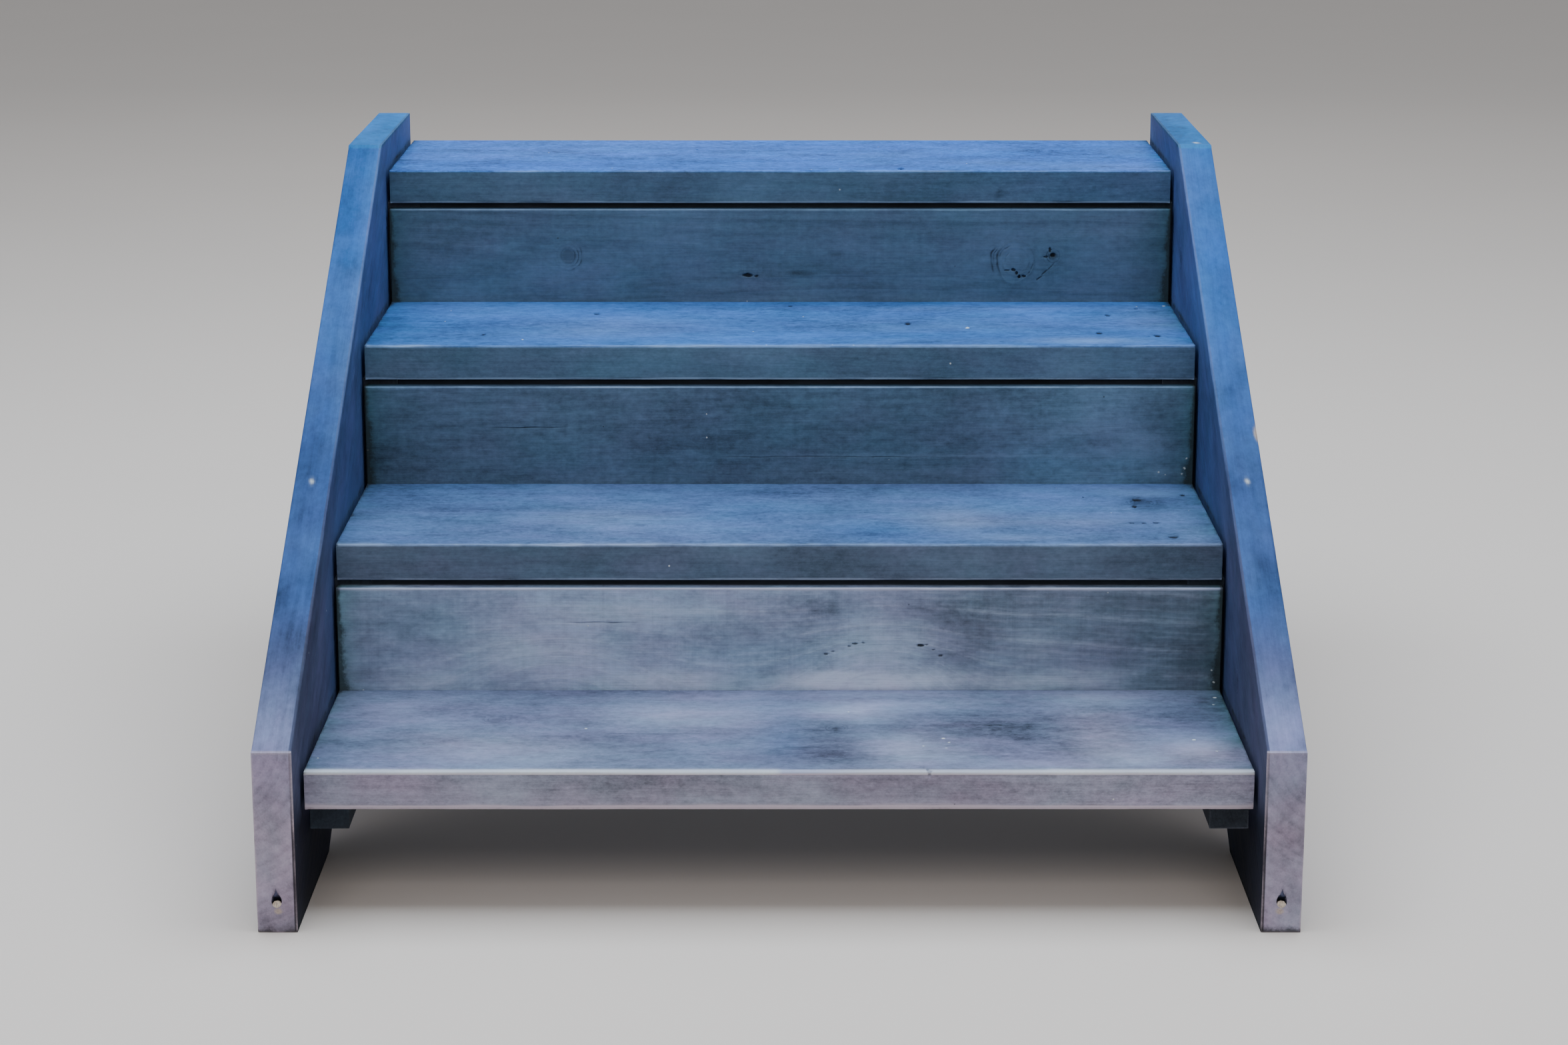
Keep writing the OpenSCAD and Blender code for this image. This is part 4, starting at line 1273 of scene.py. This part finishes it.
for n, (spec, (lo, hi)) in enumerate(zip(RISER_SPEC, RISERS), start=1):
    x0 = lo[0]
    length, thick, height = hi - lo
    knots = [
        dict(L=k[0] - x0, W=k[1] * MM, r=k[2] * MM, dark=k[3], rings=k[4], inner=k[5], outer=k[6], core=k[7], clear=k[8], side=k[9])
        for k in spec["knots"]
    ]
    feats = []
    for f in spec["features"]:
        f = dict(f)
        f["L"] = f.pop("x") - x0
        feats.append(f)
    swells = [(sx - x0, sw * MM, a, c * MM, k) for sx, sw, a, c, k in spec["swells"]]
    wood = Wood(spec["seed"], spec["pith"], spec["spacing"], spec["taper"], knots, spec.get("bow", 0.012), swells, spec.get("vary", 0.35))
    b = Board("vis_riser_%d" % n, (x0, lo[1], hi[2]), (1, 0, 0), (0, 0, -1), (0, 1, 0),
              (length, height, thick), wood, spec["seed"], r=2.2, features=feats, cup=0.3)
    ex_l, ex_w = [], []
    for f in feats:
        cl, cw = f["L"] / MM, f["W"] / MM
        if f["kind"] == "check":
            ex_w += around(cw, [0, 0.6, 1.2, 2.0])
        elif f["kind"] == "pit":
            k = f["r"]
            kl, kw = k * f.get("long", 1), k * f.get("deepw", 1)
            ex_l += around(cl, [0, 0.45 * kl, 0.9 * kl, 1.3 * kl])
            ex_w += around(cw, [0, 0.45 * kw, 0.9 * kw, 1.3 * kw])
        elif f["kind"] == "spot":
            ex_l += around(cl, [0, 0.5 * f["r"], 0.9 * f["r"], 1.3 * f["r"]])
            ex_w += around(cw, [0, 0.5 * f["r"], 0.9 * f["r"], 1.3 * f["r"]])
        elif f["kind"] == "arc" and f["r"] > 30:
            ex_l += around(cl, np.arange(0, f["r"] + 3, 0.8))
            ex_w += around(cw, np.arange(0, 0.75 * f["r"], 0.9))
    for k in knots:
        reach = k["r"] * k["outer"] / MM
        ex_l += around(k["L"] / MM, np.arange(0, reach, 2.6))
        ex_w += around(k["W"] / MM, np.arange(0, reach, 2.6))
    b.build(lines(length, 6.4, ex_l), lines(height, 3.4, ex_w), lines(thick, 4.0), back=(15, 10))
    b.paint(riser_masks(n, spec), spec["mat"], ["riser_%d" % n])

# ---------------------------------------------------------------------------
# Stringers
# ---------------------------------------------------------------------------
W_OFF = STR_W - FOOT_H * CO


def to_uw(y, z):
    """Profile point, from the foot's lower front corner, to along and across the rake."""
    return np.array([y * CO + z * SI, -y * SI + z * CO + W_OFF])


plumb = STR_W / CO
heel = (plumb - FOOT_H) / RAKE
profile = [(0, 0), (heel, 0), (RUN, FOOT_H - plumb + RAKE * RUN), (RUN, FLAT_H), (BREAK_Y, FLAT_H), (0, FOOT_H)]
POLY = np.array([to_uw(y, z) for y, z in profile])


def row_span(w):
    """Ends of the row at height w across the rake, inside the outline."""
    us = []
    for a, b in zip(POLY, np.roll(POLY, -1, axis=0)):
        if abs(b[1] - a[1]) < 1e-9:
            if abs(w - a[1]) < 1e-9:
                us += [a[0], b[0]]
            continue
        t = (w - a[1]) / (b[1] - a[1])
        if -1e-9 <= t <= 1 + 1e-9:
            us.append(a[0] + t * (b[0] - a[0]))
    return min(us), max(us)


def stringer_masks(side):
    def fn(b, m, X, P, D, face, edge):
        u, w, T = P.T
        y, z = X[:, 1] - FRONT, X[:, 2] - DECK
        t = b.dims[2]
        n1 = 0.5 + 0.5 * fbm(u * 14, w * 26, T * 26, 3, b.seed + 30)
        n2 = 0.5 + 0.5 * fbm(u * 60, w * 60, T * 60, 3, b.seed + 31)
        a = np.exp(-((edge / (2.4 * MM)) ** 2))
        front = D[:, 5] < 3 * MM
        rake = D[:, 4] < 3 * MM
        flat = D[:, 3] < 3 * MM
        m["wear"] = np.clip(a * (0.16 + 0.30 * front) * (0.35 + 0.9 * n1), 0, 1)
        # a chip off the outer arris of the rake, part way up the right stringer
        if side > 0:
            d = np.sqrt(((y - 0.435) / 0.016) ** 2 + ((T - t) / (5 * MM)) ** 2 + ((D[:, 4]) / (5 * MM)) ** 2)
            m["raw"] = np.maximum(m["raw"], 0.8 * (1 - ss(0.5, 1.0, d)) * ss(0.3, 0.6, n2))
        # the torn mouth of the screw hole on the foot
        hx = T - t / 2
        hz = z - 35 * MM
        d = np.sqrt(((hx + 1.5 * MM) / (5.0 * MM)) ** 2 + ((hz + 11.5 * MM) / (4.0 * MM)) ** 2)
        m["raw"] = np.maximum(m["raw"], front * (1 - ss(0.5, 1.1, d + 0.35 * (n2 - 0.5))) * 0.65)
        # painted shade in the split above the hole
        up = np.clip((hz - 6 * MM) / (9 * MM), 0, 1)
        d = np.abs(hx - 0.8 * MM) / ((4.2 - 3.6 * up) * MM)
        m["shade"] = front * (hz > 0) * (hz < 15 * MM) * (1 - ss(0.6, 1.2, d)) * (1 - up) * 0.9
        # inside the hole dark: painted shade
        inhole = (np.sqrt(hx**2 + ((hz + y) * 0.7071) ** 2) < 7 * MM) & (y > 1.5 * MM) & (y < 40 * MM) & (z < 40 * MM)
        m["groove"] = np.maximum(m["groove"], np.where(inhole, 0.9, 0.0))
        m["raw"] = np.where(inhole, 0, m["raw"])
        # darker towards the deck; dirt and painted shade along the joints with treads and risers
        foot = rise_off(z, 5 * MM) * 0.8 + rise_off(z, 30 * MM) * 0.25
        inner = T < 3 * MM
        corner = np.zeros_like(u)
        for lo, hi in TREADS:
            yy, zz = X[:, 1], X[:, 2]
            on = (yy > lo[1] - 2 * MM) & (yy < hi[1] + 10 * MM)
            corner = np.maximum(corner, on * 0.8 * np.exp(-np.abs(zz - hi[2]) / (5 * MM)) * ss(lo[1], lo[1] + 0.12, yy))
        for lo, hi in RISERS:
            yy, zz = X[:, 1], X[:, 2]
            on = (zz > lo[2]) & (zz < hi[2] + 6 * MM)
            corner = np.maximum(corner, on * 0.7 * np.exp(-np.abs(yy - lo[1]) / (6 * MM)))
        m["dirt"] = np.clip((foot + corner * inner) * (0.5 + 0.8 * n2), 0, 1)
        # the lower end of the rake greyer: painted sunlight
        g = 0.42 * (1 - ss(0.02, 0.21, y)) + 0.05 * (1 - ss(0.2, 0.5, y))
        g = np.where(inner, 0.08 * (1 - ss(0.10, 0.35, y)), g)
        g = np.where(front, 0.98 - 0.16 * ss(0.10, 0.19, z), g) + 0.06 * fbm(u * 4, w * 8, T * 8, 2, b.seed + 33)
        m["grey"] = np.clip(g, 0, 1)
        outer = (T > t - 3 * MM) * ss(1.5 * MM, 4 * MM, np.minimum(np.minimum(D[:, 3], D[:, 4]), D[:, 5]))
        # inner faces: painted shade low down under tread 1, lighter higher up; flat top brighter: painted sky
        # reflection; lower end of the rake brighter: painted sunlight
        m["gain"] = np.where(inner, (0.85 + 0.15 * ss(0.1, 0.3, y) + 0.42 * ss(0.30, 0.65, z)) * (0.20 + 0.80 * ss(0.11, 0.16, z + 0.3 * y)),
                             np.where(front, 1.22, np.where(flat, 1.46, 1.03 - 0.14 * (1 - ss(0.10, 0.26, y)) + 0.34 * rake * (1 - ss(0.02, 0.11, y)))))
        m["tex"] = np.where(inner, 0.7, np.where(front, 0.85, 0.85))
        m["grain"] = np.where(front, 0.85, 0.5)
        # the deep tone, matched on the shaded inner face and given to the outer face too, is painted shade
        m["deep"] = np.where(inner, 1.0 - 0.36 * ss(0.15, 0.6, y), np.where(front, 0.0, 0.36 * (1 - ss(0.35, 0.85, y))))
        m["deep"] = np.maximum(m["deep"], outer * (0.72 - 0.16 * ss(0.15, 0.8, y)))
        m["gain"] = m["gain"] * (1 + 0.12 * outer)
        # green on the flat top is a painted reflection of grass; along the inner joints a bloom
        m["green"] = 0.8 * flat + 0.35 * corner * inner
        # a screw filled over with pale stopping, part way up the rake
        spot = np.exp(-(((y - 0.3645) / (3.2 * MM)) ** 2) - ((T - t * 0.53) / (2.2 * MM)) ** 2) * rake
        m["fade"] = np.clip(0.04 * n1 + 0.08 * rake * ss(0.4, 0.75, n1) + 0.13 * rake * ss(0.36, 0.5, y) * np.exp(-((T / (13 * MM)) ** 2)), 0, 1)
        speck = np.exp(-(((y - 0.938) / (3.5 * MM)) ** 2) - ((T - t * 0.6) / (3 * MM)) ** 2) * flat * (side > 0)
        m["spot"] = np.clip(0.62 * spot + 0.6 * speck, 0, 1)
        # a painted cast shadow across the rake near the foot, and a darker band higher up
        sh = rake * 0.22 * np.exp(-(((y - 0.19) / 0.05) ** 2)) * ss(0, t, T)
        sh = sh + rake * 0.16 * np.exp(-(((y - 0.345) / 0.04) ** 2))
        m["shade"] = np.clip(sh + m["shade"], 0, 1)

    return fn


FOOT_HOLE = 35 * MM


def prism(outline, depths):
    """A closed block over an outline of (x, z) points, from its front at one depth to its back at another."""
    m = len(outline)
    V = [(x, y, z) for (x, z), (y, _) in zip(outline, depths)] + [(x, y, z) for (x, z), (_, y) in zip(outline, depths)]
    F = [list(range(m)), list(range(2 * m - 1, m - 1, -1))]
    F += [[i, m + i, m + (i + 1) % m, (i + 1) % m] for i in range(m)]
    V = np.array(V, float)
    vol = 0.0
    for f in F:
        for k in range(1, len(f) - 1):
            vol += np.dot(V[f[0]], np.cross(V[f[k]], V[f[k + 1]]))
    return V, (F if vol > 0 else [f[::-1] for f in F])


def foot_frame(side, V):
    """Moves points given in millimetres from the foot's screw hole to the stair."""
    return V * MM * np.array([side, 1, 1]) + np.array([side * (HALF + STR_T / 2), FRONT, DECK + FOOT_HOLE])


def tear(side):
    """The split that runs up from the screw hole."""
    V, F = prism([(-3.6, 2.0), (-1.4, 7.5), (0.4, 13.5), (1.6, 8.5), (4.2, 2.5)],
                 [(-4, 5.5), (-4, 3.2), (-4, 0.7), (-4, 3.4), (-4, 5.5)])
    V = foot_frame(side, V)
    return V, (F if side > 0 else [f[::-1] for f in F])


def splinter(b, side):
    """A sliver of bare wood torn up over the lower half of the hole, joined to the mesh as a shell of its own."""
    me = b.ob.data
    V, F = prism([(-6.2, -8.6), (-5.4, -4.6), (-3.9, -1.6), (-1.2, -0.4), (2.6, -1.2), (4.4, -3.4), (4.9, -6.4), (2.2, -8.0), (0.4, -10.6), (-3.0, -11.8)],
                 [(0.35, 1.8), (0.25, 2.2), (0.30, 2.6), (0.85, 2.8), (1.1, 2.9), (0.65, 2.5), (0.35, 2.0), (0.5, 1.6), (0.4, 1.4), (0.55, 1.4)])
    V = foot_frame(side, V)
    F = F if side > 0 else [f[::-1] for f in F]
    old = coords(me)
    keep = {a.name: np.zeros(len(old) * 3, np.float32) for a in me.attributes if a.data_type == "FLOAT_VECTOR" and a.domain == "POINT" and a.name != "position"}
    for k, v in keep.items():
        me.attributes[k].data.foreach_get("vector", v)
    faces = [list(p.vertices) for p in me.polygons] + [[i + len(old) for i in f] for f in F]
    mats = [0] * len(me.polygons) + [1] * len(F)
    new = new_mesh(b.ob.name, np.concatenate([old, V]), faces, mats)
    for k, v in keep.items():
        v = np.concatenate([v.reshape(-1, 3), np.zeros((len(V), 3), np.float32)])
        set_vector(new, k, v[:, 0], v[:, 1], v[:, 2])
    b.ob.data = new
    new.materials.append(me.materials[0])
    new.materials.append(TORN)
    new.shade_smooth()
    new.set_sharp_from_angle(angle=math.radians(42))
    bpy.data.meshes.remove(me)


for side, name, seed in ((1, "right_stringer", 131), (-1, "left_stringer", 149)):
    # T runs outwards from the inner face; the board's own axes lie in the Y-Z plane
    a0 = (0, CO, SI)
    a1 = (0, -SI, CO)
    a2 = (side, 0, 0)
    base = np.array([side * HALF, FRONT, DECK]) - W_OFF * np.array(a1)
    if side > 0:
        knots = [dict(L=0.62, W=0.095, r=13 * MM, dark=0.7), dict(L=1.02, W=0.205, r=9 * MM, dark=0.6),
                 dict(L=0.30, W=0.185, r=7 * MM, dark=0.5)]
    else:
        knots = [dict(L=0.50, W=0.170, r=11 * MM, dark=0.7), dict(L=0.92, W=0.075, r=10 * MM, dark=0.6)]
    wood = Wood(seed, (0.305 if side > 0 else 0.30, 0.085), 0.0105, 0.010 * side, knots)
    feats = [
        dict(kind="check", L=0.33, W=0.120, len=140, wide=0.8, deep=1.4, back=True),
        dict(kind="check", L=0.86, W=0.215, len=180, wide=0.9, deep=1.6, back=True),
        dict(kind="check", L=0.72, W=0.255, len=90, wide=0.6, deep=1.0),
    ]
    b = Board("vis_" + name, base, a0, a1, a2, (1.4, STR_W, STR_T), wood, seed, r=3.0, end_ease=0.38,
              polygon=POLY, features=feats, cup=0.0)
    b.sawn = [0, 2, 3, 5]
    corner_w = [p[1] / MM for p in POLY]
    hole_w = to_uw(0, FOOT_HOLE)[1] / MM
    ex_w = [c for c in corner_w if 6 < c < STR_W / MM - 6]
    ex_w += [c + o for c in list(ex_w) for o in (-2.4, -1.0, 1.0, 2.4)]
    for f in feats:
        ex_w += around(f["W"] / MM, [0, 0.6, 1.3])
    ex_w += [hole_w + o for o in np.arange(-14, 10, 1.9)]
    Ws = lines(STR_W, 4.8, ex_w)
    Ts = lines(STR_T, 4.2, [STR_T / MM / 2 + o for o in (-7.5, -5.5, -3.6, -1.8, 0, 1.8, 3.6, 5.5, 7.5)])
    spans = np.array([row_span(w) for w in Ws])
    starts = np.array([0, 0.7, 1.6, 2.6, 3.6, 5.5, 8.5]) * MM
    nmid = 186
    extra = sorted([k["L"] + o * MM for k in knots for o in around(0, KNOT_LINES[::3])])
    nl = len(starts) * 2 + nmid
    U = np.zeros((nl, len(Ws)))
    for j, (u0, u1) in enumerate(spans):
        a, c = u0 + starts, u1 - starts[::-1]
        mid = a[-1] + (c[0] - a[-1]) * np.arange(1, nmid + 1) / (nmid + 1)
        U[:, j] = np.concatenate([a, mid, c])
    ijk, faces = lattice(nl, len(Ws), len(Ts))
    P = np.stack([U[ijk[:, 0], ijk[:, 1]], Ws[ijk[:, 1]], Ts[ijk[:, 2]]], 1)
    ob = b.build(None, None, None, P=P, faces=faces)
    entry = np.array([side * (HALF + STR_T / 2), FRONT, DECK + FOOT_HOLE])
    d = np.array([0, math.sqrt(0.5), -math.sqrt(0.5)])
    cut = lathe([(-30 * MM, 0), (-30 * MM, 5.5 * MM), (14 * MM, 5.5 * MM), (15.5 * MM, 3 * MM), (75 * MM, 3 * MM), (75 * MM, 0)], entry, d, 40)
    notch = tear(side)
    boolean(ob, [cut, notch])
    b.paint(stringer_masks(side), STRINGER, [name])
    splinter(b, side)

# ---------------------------------------------------------------------------
# Battens and bearer
# ---------------------------------------------------------------------------


def batten_masks(b, m, X, P, D, face, edge):
    L, W, T = P.T
    n1 = 0.5 + 0.5 * fbm(L * 16, W * 30, T * 30, 3, b.seed + 30)
    n2 = 0.5 + 0.5 * fbm(L * 60, W * 60, T * 60, 3, b.seed + 31)
    m["wear"] = np.clip(0.4 * np.exp(-((edge / (2.2 * MM)) ** 2)) * n1, 0, 1)
    m["dirt"] = np.clip(0.35 * (0.4 + 0.8 * n2), 0, 1)
    m["fade"] = np.clip(0.18 * n1, 0, 1)
    m["grey"] = np.clip(0.35 + 0.3 * fbm(L * 5, W * 9, T * 9, 2, b.seed + 33), 0, 1)


def rail_masks(b, m, X, P, D, face, edge):
    batten_masks(b, m, X, P, D, face, edge)
    # the face against the riser, seen only through the gap over it, darkened: painted shade
    m["gain"] = np.where(P[:, 2] > b.dims[2] - 3 * MM, 0.3, 1.0)
    m["dirt"] = np.where(P[:, 2] > b.dims[2] - 3 * MM, 0.0, m["dirt"])


seed = 200
for side, word in ((-1, "left"), (1, "right")):
    for n in (1, 2, 3, 4):
        node = "tread_batten_%s_%d" % (word, n)
        lo, hi = box(node)
        seed += 7
        size = hi - lo
        # the face towards the middle of the stair is the show face, T=0
        ox = lo[0] if side > 0 else hi[0]
        wood = Wood(seed, (0.03, 0.07), 0.0042, 0.01)
        sp = [35 * MM, size[1] / 2, size[1] - 35 * MM]
        feats = [dict(kind="screw", L=s, W=size[2] / 2 + (4 * MM if i % 2 else -4 * MM), deep=1.2) for i, s in enumerate(sp)]
        b = Board("vis_" + node, (ox, lo[1], lo[2]), (0, 1, 0), (0, 0, 1), (side, 0, 0),
                  (size[1], size[2], size[0]), wood, seed, r=1.8, features=feats, cup=0)
        ex_l, ex_w = [], []
        for f in feats:
            ex_l += around(f["L"] / MM, SCREW_LINES)
            ex_w += around(f["W"] / MM, SCREW_LINES)
        b.build(lines(size[1], 9, ex_l), lines(size[2], 8, ex_w), lines(size[0], 9), back=(18, 12))
        b.add_screws([(ox, lo[1] + f["L"], lo[2] + f["W"]) for f in feats], (-side, 0, 0), sink=0.8, r=4.2)
        b.paint(batten_masks, BATTEN_IN_SHADE, [node], SCREW)
    for n in (1, 2, 3):
        node = "riser_batten_%s_%d" % (word, n)
        lo, hi = box(node)
        seed += 7
        size = hi - lo
        ox = lo[0] if side > 0 else hi[0]
        wood = Wood(seed, (0.02, 0.05), 0.0042, 0.01)
        sp = [32 * MM, size[2] - 34 * MM]
        feats = [dict(kind="screw", L=s, W=size[1] / 2, deep=1.2) for s in sp]
        b = Board("vis_" + node, (ox, lo[1], lo[2]), (0, 0, 1), (0, 1, 0), (side, 0, 0),
                  (size[2], size[1], size[0]), wood, seed, r=1.6, features=feats, cup=0)
        ex_l, ex_w = [], []
        for f in feats:
            ex_l += around(f["L"] / MM, SCREW_LINES)
            ex_w += around(f["W"] / MM, SCREW_LINES)
        b.build(lines(size[2], 10, ex_l), lines(size[1], 8, ex_w), lines(size[0], 10), back=(18, 12))
        b.add_screws([(ox, lo[1] + f["W"], lo[2] + f["L"]) for f in feats], (-side, 0, 0), sink=0.8, r=4.2)
        b.paint(batten_masks, BATTEN_IN_SHADE, [node], SCREW)

for n in (1, 2, 3):
    node = "riser_rail_%d" % n
    lo, hi = box(node)
    seed += 7
    size = hi - lo
    # the rear face is the show face
    wood = Wood(seed, (0.02, 0.06), 0.0044, 0.012, [dict(L=0.23 + 0.17 * n, W=0.034, r=7 * MM, dark=0.7)])
    b = Board("vis_" + node, (lo[0], hi[1], hi[2]), (1, 0, 0), (0, 0, -1), (0, -1, 0),
              (size[0], size[2], size[1]), wood, seed, r=1.8, cup=0.1,
              features=[dict(kind="check", L=0.30 + 0.11 * n, W=0.041, len=90, wide=0.7, deep=1.2)])
    b.build(lines(size[0], 12), lines(size[2], 7, around(41, [0, 0.6, 1.2])), lines(size[1], 9), back=(24, 14))
    b.paint(rail_masks, BATTEN_IN_SHADE, [node])

lo, hi = box("back_bearer")
size = hi - lo
wood = Wood(301, (0.045, 0.085), 0.0048, 0.012, [dict(L=0.31, W=0.052, r=9 * MM, dark=0.8), dict(L=0.74, W=0.030, r=7 * MM, dark=0.6)])
# the rear face is the show face
b = Board("vis_back_bearer", (lo[0], hi[1], hi[2]), (1, 0, 0), (0, 0, -1), (0, -1, 0),
          (size[0], size[2], size[1]), wood, 301, r=2.2, cup=0.2,
          features=[dict(kind="check", L=0.45, W=0.062, len=160, wide=0.8, deep=1.4), dict(kind="check", L=0.86, W=0.025, len=90, wide=0.6, deep=1.0)])
b.build(lines(size[0], 9), lines(size[2], 5.5, around(62, [0, 0.6, 1.2]) + around(25, [0, 0.6, 1.2])), lines(size[1], 7))
cuts = []
for i in (-1.5, -0.5, 0.5, 1.5):
    cuts.append(lathe([(-8 * MM, 0), (-8 * MM, 6.5 * MM), (size[1] + 8 * MM, 6.5 * MM), (size[1] + 8 * MM, 0)],
                      (i * 0.26, -size[1], 0.0), (0, 1, 0), 40))
boolean(b.ob, cuts)
b.paint(batten_masks, BATTEN_IN_SHADE, ["back_bearer"])

# ---------------------------------------------------------------------------
# Stage: floor, soft light, camera
# ---------------------------------------------------------------------------


def floor_material():
    t = Tree("studio floor")
    co = t.nt.nodes.new("ShaderNodeTexCoord").outputs["Object"]
    n = t.noise(co, 2.0, 3, 0.5)
    t.put(t.bsdf.inputs["Base Color"], t.mix(n, (0.66, 0.575, 0.515), (0.68, 0.592, 0.53)))
    t.bsdf.inputs["Roughness"].default_value = 0.7
    t.bsdf.inputs["Specular IOR Level"].default_value = 0.2
    return t.mat


s = 40.0
floor = new_object("stage_floor", new_mesh("stage_floor", np.array([(-s, -s, DECK), (s, -s, DECK), (s, s, DECK), (-s, s, DECK)]), [[0, 1, 2, 3]]))
floor.data.materials.append(floor_material())
floor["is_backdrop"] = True


def area(name, at, to, size, watts, colour=(1, 1, 1)):
    la = bpy.data.lights.new(name, "AREA")
    la.shape, la.size, la.size_y, la.energy, la.color = "RECTANGLE", size[0], size[1], watts, colour
    ob = bpy.data.objects.new(name, la)
    bpy.context.scene.collection.objects.link(ob)
    ob.location = at
    ob.rotation_mode = "QUATERNION"
    ob.rotation_quaternion = (Vector(to) - Vector(at)).to_track_quat("-Z", "Y")
    ob.visible_camera = False
    return ob


area("key", (0.0, -0.5, 3.7), (0, -0.6, -0.3), (4.6, 3.6), 300, (0.72, 0.86, 1.0))
area("front", (0.0, -5.6, 3.4), (0, -0.6, -0.3), (5.0, 2.4), 100, (1.0, 0.97, 0.94))
area("left", (-4.6, -1.0, 1.5), (0, -0.6, -0.3), (2.6, 2.0), 22, (1.0, 0.99, 0.98))
area("right", (4.6, -1.0, 1.5), (0, -0.6, -0.3), (2.6, 2.0), 22, (1.0, 0.99, 0.98))
area("back", (0.0, 5.2, 2.0), (0, -0.6, -0.2), (4.0, 2.0), 12, (0.98, 0.99, 1.0))

world = bpy.data.worlds.new("studio")
bpy.context.scene.world = world
world.use_nodes = True
bg = world.node_tree.nodes["Background"]
bg.inputs["Color"].default_value = (0.86, 0.93, 1.0, 1.0)
bg.inputs["Strength"].default_value = 0.50

cam = bpy.data.objects.new("camera", bpy.data.cameras.new("camera"))
bpy.context.scene.collection.objects.link(cam)
bpy.context.scene.camera = cam
cam.data.sensor_width = 36.0
cam.data.lens = 76.0
cam.location = (0.005, -4.47, 0.684)
cam.rotation_mode = "QUATERNION"
p = math.radians(14.2)
cam.rotation_quaternion = Vector((0, math.cos(p), -math.sin(p))).to_track_quat("-Z", "Y")
cam.data.clip_start, cam.data.clip_end = 0.05, 200.0
cam.data.dof.use_dof = False

lo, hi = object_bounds()
